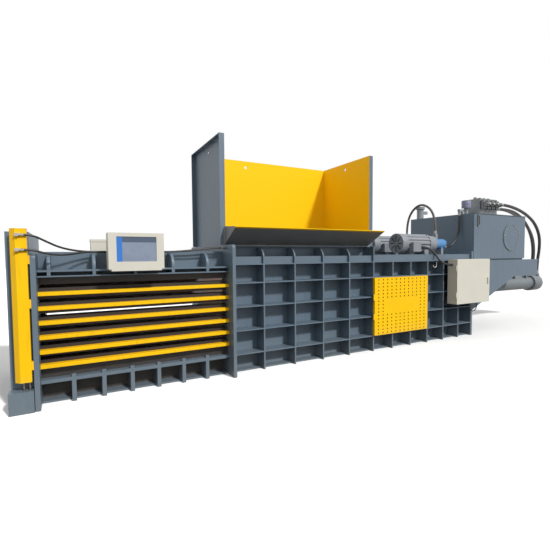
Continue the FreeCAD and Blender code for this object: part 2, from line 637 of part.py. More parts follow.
for name, near in NEAR_FAR:
    ram.append(box("floor_pad_" + name, (PLATEN_BACK, RAM_TAIL), side((RAM_HALF + " - pad_width", RAM_HALF), near),
                    ("floor_top + slide_gap", RAM_LOW)))
    ram.append(box("side_pad_" + name, (PLATEN_BACK, RAM_TAIL), side((RAM_HALF, "inner_half - slide_gap"), near),
                    ("cyl_z - pad_width / 2", "cyl_z + pad_width / 2")))
node("ram_box", group("ram_box", ram))

# ---------------------------------------------------------------- main cylinder
BARREL_START = "(%s + flange_deep)" % REAR_END
PISTON_BACK = "(barrel_end - piston_back)"
PISTON_FRONT = "(%s - piston_length)" % PISTON_BACK
front_flange = rod("front_flange", "x", (REAR_END, "0", "cyl_z"), "flange_radius", "flange_deep")
barrel = rod("barrel", "x", (BARREL_START, "0", "cyl_z"), "cyl_radius", "barrel_end - %s" % BARREL_START)
bore = rod("bore", "x", (BARREL_START + " - 10", "0", "cyl_z"), "bore_radius", "barrel_end - %s + 20" % BARREL_START)
gland = rod("gland", "x", (REAR_END + " - 10", "0", "cyl_z"), "rod_radius + run_gap", "flange_deep + 20")
node("cylinder_barrel", group("cylinder_barrel", [cut("flange_ring", front_flange, gland),
                                                  cut("barrel_tube", barrel, bore)]))
piston = rod("piston", "x", (PISTON_FRONT, "0", "cyl_z"), "bore_radius - run_gap", "piston_length")
piston_shaft = rod("piston_shaft", "x", (RAM_TAIL, "0", "cyl_z"), "rod_radius", "%s - %s" % (PISTON_FRONT, RAM_TAIL))
node("piston_rod", fuse("piston_rod", piston, piston_shaft))
cap = prism("cap", "x", ("barrel_end", "0", "cyl_z"), "cap_radius", "cap_length", 36)
CAP_END = "(barrel_end + cap_length)"
PORTS = (("barrel_end + 0.82 * cap_length", "-85"), ("barrel_end + 0.82 * cap_length", "20"),
         ("barrel_end + 0.38 * cap_length", "-35"))
PORT_TOP = "(cyl_z + cap_radius + 25)"
ports = [box("port_%d" % index, ("%s - port_half" % x, "%s + port_half" % x),
             ("%s - port_half" % y, "%s + port_half" % y), ("cyl_z + cap_radius / 2", PORT_TOP))
         for index, (x, y) in enumerate(PORTS)]
node("cylinder_cap", fuse("cylinder_cap", cap, *ports))

# ---------------------------------------------------------------- oil tank on its brackets
# Two tapered plates with top flanges stand out from the rear frame, tied by a cross plate at
# their far end. The tank is welded from plates and rests on two runners.
BRACKET_WEB_TOP = "(bracket_top - bracket_plate)"
brackets = []
for name, near in NEAR_FAR:
    low, high = side(("tank_half - bracket_plate", "tank_half"), near)
    brackets.append(profile("bracket_web_" + name, "XZ", [
        (REAR_END, "bracket_root_z"), ("bracket_bend", "bracket_tip_z"), ("bracket_end", "bracket_tip_z"),
        ("bracket_end", BRACKET_WEB_TOP), (REAR_END, BRACKET_WEB_TOP)], low, high))
    brackets.append(box("bracket_flange_" + name, (REAR_END, "bracket_end + 2 * bracket_plate"),
                        side(("tank_half - 6 * bracket_plate", "tank_half"), near),
                        (BRACKET_WEB_TOP, "bracket_top")))
brackets.append(box("bracket_cross", ("bracket_end - bracket_plate", "bracket_end"),
                    ("-tank_half + bracket_plate", "tank_half - bracket_plate"), ("bracket_tip_z", BRACKET_WEB_TOP)))
node("tank_brackets", group("tank_brackets", brackets))

TANK_END = "(tank_start + tank_length)"
TANK_TOP = "(tank_bottom + tank_height)"
TANK_X = ("tank_start", TANK_END)
TANK_IN_X = ("tank_start + tank_plate", TANK_END + " - tank_plate")
TANK_Z = ("tank_bottom + tank_plate", TANK_TOP + " - tank_plate")
COVER_AT = ("tank_start + 1270", "tank_bottom + 453")
tank_front = box("tank_front", TANK_IN_X, ("-tank_half", "-tank_half + tank_plate"), TANK_Z)
manhole = rod("manhole", "y", (COVER_AT[0], "-tank_half - 10", COVER_AT[1]), "manhole_radius", "tank_plate + 20")
tank = [
    box("tank_floor", TANK_X, ("-tank_half", "tank_half"), ("tank_bottom", TANK_Z[0])),
    box("tank_lid", ("tank_start", TANK_END + " + tank_lid_edge"), ("-tank_half - tank_lid_edge", "tank_half"),
        (TANK_Z[1], TANK_TOP)),
    cut("tank_front_cut", tank_front, manhole),
    box("tank_rear", TANK_IN_X, ("tank_half - tank_plate", "tank_half"), TANK_Z),
    box("tank_left", ("tank_start", TANK_IN_X[0]), ("-tank_half", "tank_half"), TANK_Z),
    box("tank_right", (TANK_IN_X[1], TANK_END), ("-tank_half", "tank_half"), TANK_Z)]
for name, near in NEAR_FAR:
    tank.append(box("tank_runner_" + name, TANK_X, side(("tank_half - 5 * bracket_plate", "tank_half - 2 * bracket_plate"),
                                                        near), ("bracket_top", "tank_bottom")))
node("oil_tank", group("oil_tank", tank))
node("inspection_cover", prism("inspection_cover", "y", (COVER_AT[0], "-tank_half - 1.5 * tank_plate", COVER_AT[1]),
                               "cover_radius", "1.5 * tank_plate", 48))

# Breather, return filter, level gauge and the elbow of the pump's suction hose.
BREATHER = ("tank_start + 125", "-530")
FILTER = ("tank_start + 150", "660")
GAUGE_X = "tank_start + 122"
ELBOW_Y = "-500"
SUCTION = ("tank_start - 45", ELBOW_Y, TANK_TOP + " + 33")
node("tank_fittings", group("tank_fittings", [
    fuse("tank_breather", prism("breather_neck", "z", (*BREATHER, TANK_TOP), "38", "140"),
         prism("breather_cap", "z", (*BREATHER, TANK_TOP + " + 130"), "88", "150", 24)),
    fuse("return_filter", prism("filter_body", "z", (*FILTER, TANK_TOP), "76", "230", 16),
         prism("filter_head", "z", (*FILTER, TANK_TOP + " + 230"), "100", "55", 16),
         box("filter_port", (FILTER[0], FILTER[0] + " + 210"), ("625", "695"),
             (TANK_TOP + " + 120", TANK_TOP + " + 190"))),
    box("level_gauge", (GAUGE_X + " - 22", GAUGE_X + " + 22"), ("-tank_half - 28", "-tank_half"),
        (TANK_TOP + " - 255", TANK_TOP + " - 25")),
    fuse("suction_elbow", prism("elbow_up", "z", ("tank_start + 45", ELBOW_Y, TANK_TOP), "30", "60"),
         box("elbow_over", ("tank_start - 71", "tank_start + 71"), (ELBOW_Y + " - 26", ELBOW_Y + " + 26"),
             (TANK_TOP + " + 55", TANK_TOP + " + 100")),
         prism("elbow_down", "z", SUCTION, "30", "30"))]))

# The valve block stands on the tank: a manifold with four valves, and pipe stubs for hoses.
MANIFOLD = ("tank_start + 640", "tank_start + 1260")
MANIFOLD_TOP = "(%s + 370)" % TANK_TOP
STUB_X = "(tank_start + 1345)"
HOSE_STARTS = (("-300", "(%s + 322)" % TANK_TOP), ("-190", "(%s + 245)" % TANK_TOP), ("-410", "(%s + 190)" % TANK_TOP))
valves = [box("manifold", MANIFOLD, ("-480", "-120"), (TANK_TOP, MANIFOLD_TOP))]
for index in range(4):
    middle = "(tank_start + valve_first + %d * valve_pitch)" % index
    valves.append(box("valve_coil_%d" % index, (middle + " - 40", middle + " + 40"), ("-620", "-540"),
                      (TANK_TOP + " + 200", TANK_TOP + " + 285")))
    valves.append(box("valve_body_%d" % index, (middle + " - 52", middle + " + 52"), ("-545", "-470"),
                      (TANK_TOP + " + 150", TANK_TOP + " + 330")))
    valves.append(prism("valve_cap_%d" % index, "z", (middle, "-320", MANIFOLD_TOP), "34", "45"))
for index, (y, z) in enumerate(HOSE_STARTS):
    valves.append(prism("valve_stub_%d" % index, "x", ("tank_start + 1250", y, z), "46",
                        STUB_X + " - (tank_start + 1250)"))
node("valve_block", fuse("valve_block", *valves))

# ---------------------------------------------------------------- motors and pumps
COWL_END = "(motor_start + cowl_length)"
MOTOR_END = "(%s + motor_length)" % COWL_END
BELL_END = "(%s + bell_length)" % MOTOR_END
PUMP_END = "(%s + pump_length)" % BELL_END
TERMINAL_END = "(%s + 240)" % COWL_END
DECK_TOP = "(rear_top + deck_thick)"
FINS = 14
SLOTS = 8
BLADES = 6
ROUND_SIDES = 18


def finned_frame(label, y):
    """A motor frame: a round section with cooling fins, as one extruded outline."""
    inner = number("motor_radius")
    outer = number("motor_radius + fin_height")
    step = 2 * math.pi / FINS
    points = []
    for fin in range(FINS):
        for part, radius in ((-0.3, inner), (-0.12, outer), (0.12, outer), (0.3, inner)):
            angle = (fin + part) * step
            points.append(FreeCAD.Vector(0, radius * math.cos(angle), radius * math.sin(angle)))
    outline = Part.Face(Part.makePolygon(points + points[:1]))
    thing = doc.addObject("Part::Feature", label)
    thing.Shape = outline.extrude(FreeCAD.Vector(number("motor_length"), 0, 0))
    thing.Placement.Base = FreeCAD.Vector(number(COWL_END), number(y), number("motor_z"))
    return thing


def spoke(label, centre, angle, along, outward, thick):
    """A radial bar round the motor's axis: bounds along the axis and outward, and its thickness."""
    bar = doc.addObject("Part::Box", label)
    bar.setExpression("Length", bound("(%s) - (%s)" % (along[1], along[0])))
    bar.setExpression("Width", bound("(%s) - (%s)" % (outward[1], outward[0])))
    bar.setExpression("Height", bound(thick))
    turned = FreeCAD.Rotation(FreeCAD.Vector(1, 0, 0), angle)
    corner = FreeCAD.Vector(number(along[0]), number(outward[0]), -number(thick) / 2)
    middle = FreeCAD.Vector(*(number(part) for part in centre))
    bar.Placement = FreeCAD.Placement(middle + turned.multVec(corner), turned)
    return bar


def power_unit(name, y):
    frame = finned_frame("motor_frame_" + name, y)
    end_plate = prism("motor_end_plate_" + name, "x", (MOTOR_END + " - 30", y, "motor_z"),
                      "motor_radius + fin_height", "30", ROUND_SIDES)
    terminal = box("terminal_" + name, (COWL_END + " + 40", TERMINAL_END),
                   (y + " - motor_radius - 85", y + " - motor_radius + 30"), ("motor_z - 154", "motor_z + 16"))
    feet = [box("motor_foot_%s_%d" % (name, index), (COWL_END + " + %d" % start, COWL_END + " + %d" % (start + 110)),
                (y + " - motor_radius + 10", y + " + motor_radius - 10"), (DECK_TOP, "motor_z - motor_radius + 45"))
            for index, start in enumerate((60, 440))]
    shaft_bore = rod("fan_bore_" + name, "x", (COWL_END + " - 10", y, "motor_z"), "20 + run_gap", "70")
    motor = cut("motor_body_" + name, fuse("motor_parts_" + name, frame, end_plate, terminal, *feet), shaft_bore)
    shell = prism("cowl_shell_" + name, "x", ("motor_start", y, "motor_z"), "cowl_radius", "cowl_length",
                  ROUND_SIDES)
    hollow = prism("cowl_hollow_" + name, "x", ("motor_start + 5", y, "motor_z"), "cowl_radius - 5",
                   "cowl_length", ROUND_SIDES)
    centre = ("motor_start", y, "motor_z")
    slots = [spoke("cowl_slot_%s_%d" % (name, turn), centre, turn * 360 / SLOTS, ("-10", "10"), ("45", "150"), "22")
             for turn in range(SLOTS)]
    cowl = cut("fan_cowl_" + name, shell, hollow, *slots)
    node("motor_" + name, group("motor_" + name, [motor, cowl]))
    blades = [prism("fan_hub_" + name, "x", ("motor_start + 30", y, "motor_z"), "45", "80", 12),
              rod("fan_shaft_" + name, "x", ("motor_start + 110", y, "motor_z"), "20", "cowl_length - 110 + 50")]
    blades += [spoke("fan_blade_%s_%d" % (name, turn), centre, turn * 360 / BLADES, ("40", "100"), ("40", "160"), "6")
               for turn in range(BLADES)]
    node("motor_fan_" + name, fuse("motor_fan_" + name, *blades))
    pump = fuse("pump_parts_" + name,
                prism("bell_" + name, "x", (MOTOR_END, y, "motor_z"), "motor_radius - 10", "bell_length",
                      ROUND_SIDES),
                prism("pump_body_" + name, "x", (BELL_END, y, "motor_z"), "95", "pump_length", ROUND_SIDES),
                box("pump_port_" + name, (BELL_END + " + 78", BELL_END + " + 142"), (y + " - 32", y + " + 32"),
                    ("motor_z", "motor_z + 196")),
                prism("suction_port_" + name, "x", (PUMP_END, y, "motor_z - 60"), "30", "45"),
                prism("pump_cap_" + name, "x", (PUMP_END, y, "motor_z + 30"), "48", "75"),
                box("pump_foot_" + name, (BELL_END + " + 200", BELL_END + " + 260"), (y + " - 70", y + " + 70"),
                    (DECK_TOP, "motor_z - 70")))
    node("pump_" + name, pump)


power_unit("near", "near_motor_y")
power_unit("far", "far_motor_y")

# ---------------------------------------------------------------- hinges
# A small hinge: a pin and two lugs on a leaf that stays, and a barrel that turns on the pin.


def hinge(label, x, y, low, high, pin, leaf, arm, lug="8", wall="5"):
    """Return the fixed part and the turning part. leaf and arm are plan boxes (x, y).

    A lug is an eight-sided eye round the pin with a bridge to the leaf.
    """
    height = "(%s) - (%s)" % (high, low)
    outer = "%s + %s" % (pin, wall)
    inside = ("%s + %s + slide_gap" % (low, lug), "%s - %s - slide_gap" % (high, lug))
    bridge = [(min(middle, span[0], key=number), max(middle, span[1], key=number))
              for middle, span in ((x, leaf[0]), (y, leaf[1]))]
    stays = [box(label + "_leaf", leaf[0], leaf[1], (low, high)), rod(label + "_pin", "z", (x, y, low), pin, height)]
    for end, start in (("low", low), ("high", "%s - %s" % (high, lug))):
        stays.append(prism("%s_lug_%s" % (label, end), "z", (x, y, start), outer, lug, 8))
        stays.append(box("%s_bridge_%s" % (label, end), *bridge, (start, "%s + %s" % (start, lug))))
    barrel = fuse(label + "_barrel_solid",
                  prism(label + "_barrel_eye", "z", (x, y, inside[0]), outer,
                        "(%s) - (%s)" % (inside[1], inside[0]), 8),
                  box(label + "_arm", arm[0], arm[1], inside))
    hole = rod(label + "_barrel_hole", "z", (x, y, low), pin + " + run_gap", height)
    return fuse(label + "_fixed", *stays), cut(label + "_barrel", barrel, hole)


# ---------------------------------------------------------------- perforated access cover
# A sheet folded back at its four edges, with rows of round holes drawn four-sided, hung on two
# hinges at its left edge. Its middle band is bare but for two columns at each side.
ACCESS_END = "(access_start + access_length)"
ACCESS_FRONT = "(-%s - slide_gap - access_depth)" % RIB_TIP
ACCESS_BACK = "(-%s - slide_gap)" % RIB_TIP


def perforated_sheet(label):
    length = number("access_length")
    height = number("access_high - access_low")
    pitch, row = number("hole_pitch"), number("hole_row")
    corner = number("hole_radius") * math.sqrt(math.pi / 2)
    columns = int((length - row) / pitch)
    rows = int((height - row / 2) / row) + 1
    blank = range(rows // 2 - 2, rows // 2 + 2)
    first_x = (length - (columns - 1) * pitch) / 2
    first_z = (height - (rows - 1) * row) / 2
    wires = [Part.makePolygon([FreeCAD.Vector(x, 0, z) for x, z in
                               ((0, 0), (length, 0), (length, height), (0, height), (0, 0))])]
    for column in range(columns):
        for level in range(rows):
            if level in blank and 2 <= column < columns - 2:
                continue
            centre = FreeCAD.Vector(first_x + column * pitch, 0, first_z + level * row)
            corners = [centre + FreeCAD.Vector(x * corner, 0, z * corner)
                       for x, z in ((1, 0), (0, 1), (-1, 0), (0, -1))]
            wires.append(Part.makePolygon(corners + corners[:1]))
    thing = doc.addObject("Part::Feature", label)
    thing.Shape = Part.Face(wires, "Part::FaceMakerBullseye").extrude(FreeCAD.Vector(0, number("sheet_thick"), 0))
    thing.Placement.Base = FreeCAD.Vector(number("access_start"), number(ACCESS_FRONT), number("access_low"))
    return thing


fold_y = (ACCESS_FRONT + " + sheet_thick", ACCESS_BACK)
ACCESS_HINGE = ("(access_start - 14)", "(%s + 6)" % ACCESS_FRONT)
access_parts = [
    perforated_sheet("access_sheet"),
    box("access_left", ("access_start", "access_start + sheet_thick"), fold_y, ("access_low", "access_high")),
    box("access_right", (ACCESS_END + " - sheet_thick", ACCESS_END), fold_y, ("access_low", "access_high")),
    box("access_bottom", ("access_start + sheet_thick", ACCESS_END + " - sheet_thick"), fold_y,
        ("access_low", "access_low + sheet_thick")),
    box("access_top", ("access_start + sheet_thick", ACCESS_END + " - sheet_thick"), fold_y,
        ("access_high - sheet_thick", "access_high"))]
hinge_brackets = []
for index in (1, 2):
    height = "(cross_lowest + %d * cross_pitch)" % index
    fixed, barrel = hinge("access_hinge_%d" % index, *ACCESS_HINGE, height + " - 60", height + " + 60", "6",
                          (("access_start - 26", "access_start - 2"), ("-%s - 8" % RIB_TIP, "-" + RIB_TIP)),
                          ((ACCESS_HINGE[0], "access_start"), (ACCESS_FRONT, ACCESS_FRONT + " + 11")))
    hinge_brackets.append(fixed)
    access_parts.append(barrel)
node("access_cover", group("access_cover", access_parts))

# ---------------------------------------------------------------- electrical cabinet
CABINET_END = "(cabinet_start + cabinet_length)"
CABINET_BACK = "(-%s - cabinet_gap)" % OUTER_HALF
CABINET_MOUTH = "(%s - cabinet_depth + 20)" % CABINET_BACK
CABINET_FACE = "(%s - cabinet_depth)" % CABINET_BACK
CABINET_HIGH = "(cabinet_low + cabinet_height)"
CABINET_DEEP = (CABINET_MOUTH, CABINET_BACK + " - case_sheet")
CABINET_INNER = ("cabinet_low + case_sheet", CABINET_HIGH + " - case_sheet")
cabinet = [
    box("cabinet_back", ("cabinet_start", CABINET_END), (CABINET_DEEP[1], CABINET_BACK), ("cabinet_low", CABINET_HIGH)),
    box("cabinet_floor", ("cabinet_start", CABINET_END), CABINET_DEEP, ("cabinet_low", CABINET_INNER[0])),
    box("cabinet_roof", ("cabinet_start", CABINET_END), CABINET_DEEP, (CABINET_INNER[1], CABINET_HIGH)),
    box("cabinet_left", ("cabinet_start", "cabinet_start + case_sheet"), CABINET_DEEP, CABINET_INNER),
    box("cabinet_right", (CABINET_END + " - case_sheet", CABINET_END), CABINET_DEEP, CABINET_INNER)]
for index, height in enumerate(("cabinet_low + 110", CABINET_HIGH + " - 150")):
    cabinet.append(box("cabinet_rail_%d" % index, ("cabinet_start + 40", REAR_END), (CABINET_BACK, "-" + RIB_TIP),
                       (height, height + " + 40")))
CABINET_HINGE = ("(cabinet_start - 13)", "(%s + 11)" % CABINET_FACE)
door_parts = [box("cabinet_leaf", ("cabinet_start", CABINET_END), (CABINET_FACE, CABINET_MOUTH + " - slide_gap"),
                  ("cabinet_low", CABINET_HIGH)),
              box("cabinet_handle", (CABINET_END + " - 75", CABINET_END + " - 45"),
                  (CABINET_FACE + " - 22", CABINET_FACE), (CABINET_HIGH + " - 480", CABINET_HIGH + " - 360"))]
for index, height in enumerate(("cabinet_low + 120", CABINET_HIGH + " - 220")):
    fixed, barrel = hinge("cabinet_hinge_%d" % index, *CABINET_HINGE, height, height + " + 100", "6",
                          (("cabinet_start - 6", "cabinet_start"), (CABINET_MOUTH, CABINET_MOUTH + " + 40")),
                          ((CABINET_HINGE[0], "cabinet_start"), (CABINET_FACE + " + 6", CABINET_FACE + " + 16")))
    cabinet.append(fixed)
    door_parts.append(barrel)
node("electrical_cabinet", group("electrical_cabinet", cabinet))
node("cabinet_door", group("cabinet_door", door_parts))

# ---------------------------------------------------------------- operator's console
# A sheet box on a shelf in front of the top rail, with a window that the screen fills.
CONSOLE_BACK = "(-%s - 10)" % RIB_TIP
CONSOLE_FACE = "(%s - console_depth)" % CONSOLE_BACK
CONSOLE_END = "(console_start + console_length)"
CONSOLE_TOP = "(top_rail_z + console_height)"
WINDOW_X = ("console_start + console_border", CONSOLE_END + " - console_border")
WINDOW_Z = ("top_rail_z + console_border", CONSOLE_TOP + " - console_border / 2")
CONSOLE_X = ("console_start", CONSOLE_END)
CONSOLE_DEEP = (CONSOLE_FACE + " + case_sheet", CONSOLE_BACK + " - case_sheet")
CONSOLE_INNER = ("top_rail_z + case_sheet", CONSOLE_TOP + " - case_sheet")
console_front = box("console_front", CONSOLE_X, (CONSOLE_FACE, CONSOLE_DEEP[0]), ("top_rail_z", CONSOLE_TOP))
console_window = box("console_window", WINDOW_X, (CONSOLE_FACE + " - 10", CONSOLE_FACE + " + 20"), WINDOW_Z)
node("console_box", group("console_box", [
    cut("console_mask", console_front, console_window),
    box("console_back", CONSOLE_X, (CONSOLE_DEEP[1], CONSOLE_BACK), ("top_rail_z", CONSOLE_TOP)),
    box("console_floor", CONSOLE_X, CONSOLE_DEEP, ("top_rail_z", CONSOLE_INNER[0])),
    box("console_roof", CONSOLE_X, CONSOLE_DEEP, (CONSOLE_INNER[1], CONSOLE_TOP)),
    box("console_left", ("console_start", "console_start + case_sheet"), CONSOLE_DEEP, CONSOLE_INNER),
    box("console_right", (CONSOLE_END + " - case_sheet", CONSOLE_END), CONSOLE_DEEP, CONSOLE_INNER),
    box("console_shelf", ("console_start + 30", CONSOLE_END + " - 30"), (CONSOLE_FACE, "-" + RIB_TIP),
        ("top_rail_z - top_rail_thick", "top_rail_z"))]))
node("console_screen", box("console_screen", (WINDOW_X[0] + " - 15", WINDOW_X[1] + " + 15"),
                           (CONSOLE_FACE + " + case_sheet", CONSOLE_FACE + " + case_sheet + 12"),
                           (WINDOW_Z[0] + " - 15", WINDOW_Z[1] + " + 15")))
JUNCTION_X = ("(%s - post_first - 3 * post_pitch - 18)" % MID_LEFT, "(%s - post_first - 3 * post_pitch + 162)" % MID_LEFT)
node("junction_box", fuse("junction_box",
                          box("junction_body", JUNCTION_X, ("-%s" % WALL_OUT, "-%s + 120" % WALL_OUT),
                              ("wall_top", "wall_top + 120")),
                          box("junction_lid", (JUNCTION_X[0] + " - 4", JUNCTION_X[1] + " + 4"),
                              ("-%s - 4" % WALL_OUT, "-%s + 124" % WALL_OUT), ("wall_top + 120", "wall_top + 150"))))

# ---------------------------------------------------------------- discharge door
# A ribbed plate on three hinges at the far side. Three keepers stand out at its near edge.
DOOR_IN = "(%s - door_gap)" % END_LEFT
DOOR_OUT = "(%s - door_thick)" % DOOR_IN
DOOR_FACE = "(%s - door_ribs)" % DOOR_OUT
DOOR_LEVELS = 6
UPRIGHT_Y = ("-door_half", "-door_half / 3 - door_rib / 2", "door_half / 3 - door_rib / 2", "door_half - door_rib")
door_parts = [box("door_plate", (DOOR_OUT, DOOR_IN), ("-door_half", "door_half"), ("door_low", "door_high"))]
for index, y in enumerate(UPRIGHT_Y):
    door_parts.append(box("door_upright_%d" % index, (DOOR_FACE, DOOR_OUT), (y, "%s + door_rib" % y),
                          ("door_low", "door_high")))
for level in range(DOOR_LEVELS):
    height = "(door_low + %d * (door_high - door_low - door_rib) / %d)" % (level, DOOR_LEVELS - 1)
    for bay in range(len(UPRIGHT_Y) - 1):
        door_parts.append(box("door_cross_%d_%d" % (level, bay), (DOOR_FACE, DOOR_OUT),
                              (UPRIGHT_Y[bay] + " + door_rib", UPRIGHT_Y[bay + 1]),
                              (height, "%s + door_rib" % height)))
KEEPER_X = "(column_left + 80)"
KEEPER_Z = ["(keeper_first + %d * keeper_pitch)" % index for index in range(3)]
for index, height in enumerate(KEEPER_Z):
    door_parts.append(box("keeper_%d" % index, (KEEPER_X + " - keeper_size / 2", KEEPER_X + " + keeper_size / 2"),
                          ("-door_half - 65", "-door_half"),
                          (height + " - keeper_size / 2", height + " + keeper_size / 2")))
HINGE_X = "(%s - 105)" % DOOR_IN
for index, height in enumerate(("hinge_low", "hinge_middle", "hinge_high")):
    fixed, barrel = hinge("door_hinge_%d" % index, HINGE_X, "hinge_y", height, height + " + hinge_length", "hinge_radius",
                          ((END_LEFT + " - 20", END_LEFT), ("hinge_y - 40", "hinge_y + 60")),
                          ((HINGE_X + " - 25", HINGE_X + " + 25"), ("door_half", "hinge_y")), "25", "15")
    hinge_brackets.append(fixed)
    door_parts.append(barrel)
node("discharge_door", group("discharge_door", door_parts))
node("hinge_brackets", group("hinge_brackets", hinge_brackets))

# ---------------------------------------------------------------- door lock
# A column of folded sheet beside the door hides a bar with three teeth. A small cylinder
# lowers the bar, and the teeth then stand in front of the door's keepers. Two pins on the
# bar run in bores of the base block.
COLUMN = [("column_right", "-column_back"), ("column_right", "-column_front"),
          ("column_left + column_fold", "-column_front"), ("column_left", "-column_front + column_fold"),
          ("column_left", "-column_back")]
COLUMN_IN = [("column_right - column_sheet", "-column_back"),
             ("column_right - column_sheet", "-column_front + column_sheet"),
             ("column_left + column_fold + column_sheet / 2.4", "-column_front + column_sheet"),
             ("column_left + column_sheet", "-column_front + column_fold + column_sheet / 2.4"),
             ("column_left + column_sheet", "-column_back")]
LOCK_Y = "-(column_front - 55)"
LOCK_X = "(column_left + 75)"
TUBE_LOW = "(lock_high + 40)"
CAP_LOW = "column_high - column_sheet"
lock_parts = [profile("column_cap", "XY", COLUMN, CAP_LOW, "column_high")]
for index in range(len(COLUMN) - 1):
    lock_parts.append(profile("column_side_%d" % index, "XY",
                              [COLUMN[index], COLUMN[index + 1], COLUMN_IN[index + 1], COLUMN_IN[index]],
                              "column_low", CAP_LOW))
lock_parts.append(
    cut("lock_barrel", fuse("lock_barrel_solid", rod("lock_tube", "z", (LOCK_X, LOCK_Y, TUBE_LOW), "36", "340"),
                            box("lock_saddle", (LOCK_X + " - 20", LOCK_X + " + 40"),
                                ("-column_front + column_sheet", LOCK_Y), (TUBE_LOW + " + 80", TUBE_LOW + " + 280"))),
        rod("lock_bore", "z", (LOCK_X, LOCK_Y, TUBE_LOW + " + 20"), "27", "305"),
        rod("lock_gland", "z", (LOCK_X, LOCK_Y, TUBE_LOW + " - 10"), "14 + run_gap", "40")))
for index, height in enumerate(("450", "1100", "1560")):
    lock_parts.append(box("column_bracket_%d" % index, ("column_right", END_LEFT),
                          ("-frame_half", "-column_back - 7"), (height, height + " + 90")))
PORT_LINE = ("column_left + 65", "-column_front - 20")
LOCK_PORT_Z = ("1860", "1707")
for index, height in enumerate(LOCK_PORT_Z):
    lock_parts.append(fuse("lock_elbow_%d" % index,
                           box("elbow_block_%d" % index, ("column_left + 49", "column_left + 81"),
                               ("-column_front - 36", "-column_front"), (height + " - 16", height + " + 16")),
                           prism("elbow_nut_%d" % index, "x", ("column_left + 81", PORT_LINE[1], height), "15", "19")))
node("lock_housing", group("lock_housing", lock_parts))

BAR = ("column_left + 20", "column_right - 11")
BAR_Y = ("-column_front + 45", "-column_back - 7")
BAR_Z = ("lock_low", "lock_high")
lock_bar = [box("lock_spine", BAR, BAR_Y, BAR_Z),
            fuse("lock_ram", rod("lock_rod", "z", (LOCK_X, LOCK_Y, BAR_Z[1]), "14", "310"),
                 rod("lock_piston", "z", (LOCK_X, LOCK_Y, TUBE_LOW + " + 260"), "27 - run_gap", "30"))]
for index, height in enumerate(KEEPER_Z):
    lock_bar.append(box("lock_tooth_%d" % index, (KEEPER_X + " - keeper_size / 2 - tooth_gap - 34",
                                                  KEEPER_X + " - keeper_size / 2 - tooth_gap"),
                        (BAR_Y[1], "-door_half - 35"), ("%s - keeper_size / 2 + lock_travel" % height,
                                             "%s + keeper_size / 2 + lock_travel" % height)))
PIN_X = (LOCK_X, "column_right - 22")
PIN_Y = "(-column_back - 27)"
BORE_LOW = "(pin_low - lock_travel - 20)"
for index, x in enumerate(PIN_X):
    lock_bar.append(rod("lock_pin_%d" % index, "z", (x, PIN_Y, "pin_low"), "11", "lock_low - pin_low"))
node("lock_bar", group("lock_bar", lock_bar))
base_block = box("base_solid", ("column_left - 65", "column_right + 12"), ("-column_front + 5", "-door_half - 20"),
                 ("0", "block_top"))
node("base_block", cut("base_block", base_block, *[
    rod("pin_bore_%d" % index, "z", (x, PIN_Y, BORE_LOW), "11 + run_gap", "block_top - %s + 10" % BORE_LOW)
    for index, x in enumerate(PIN_X)]))

# ---------------------------------------------------------------- hoses and cables
# Each follows straight runs joined by tangent arcs, and leaves its fittings square.
HOSE_SIDES = 8
CABLE_SIDES = 6


def cord_path(points):
    """A wire through the points with a tangent arc at every inner one, and its arc radii."""
    spots = [FreeCAD.Vector(*(number(part) for part in point)) for point in points]
    edges = []
    radii = []
    start = spots[0]
    for before, corner, after in zip(spots, spots[1:], spots[2:]):
        inward = (corner - before).normalize()
        outward = (after - corner).normalize()
        half = inward.getAngle(outward) / 2
        reach = 0.45 * min(before.distanceToPoint(corner), corner.distanceToPoint(after))
        radii.append(reach / math.tan(half))
        arc_start = corner - inward * reach
        arc_end = corner + outward * reach
        bisector = (outward - inward).normalize()
        centre = corner + bisector * (radii[-1] / math.cos(half))
        edges.append(Part.LineSegment(start, arc_start).toShape())
        edges.append(Part.Arc(arc_start, centre - bisector * radii[-1], arc_end).toShape())
        start = arc_end
    edges.append(Part.LineSegment(start, spots[-1]).toShape())
    return Part.Wire(edges), radii


def cord(name, diameter, points):
    """A hose or cable, drawn with flat sides whose corners lie on its round surface."""
    wire, radii = cord_path(points)
    start = wire.Vertexes[0].Point
    along = wire.Edges[0].tangentAt(wire.Edges[0].FirstParameter)
    radius = number(diameter) / 2
    sides = HOSE_SIDES if diameter == "hose_size" else CABLE_SIDES
    turn = FreeCAD.Rotation(FreeCAD.Vector(0, 0, 1), along)
    corners = [start + turn.multVec(FreeCAD.Vector(radius * math.cos(step * 2 * math.pi / sides),
                                                   radius * math.sin(step * 2 * math.pi / sides), 0))
               for step in range(sides)]
    thing = doc.addObject("Part::Feature", name)
    thing.Shape = wire.makePipeShell([Part.makePolygon(corners + corners[:1])], True, True)
    wanted = sides / 2 * radius ** 2 * math.sin(2 * math.pi / sides) * wire.Length
    print("%s: length %.0f, volume %.4f of section by length, least bend radius %.0f, %.1f diameters" % (
        name, wire.Length, thing.Shape.Volume / wanted, min(radii), min(radii) / number(diameter)))
    node(name, thing)


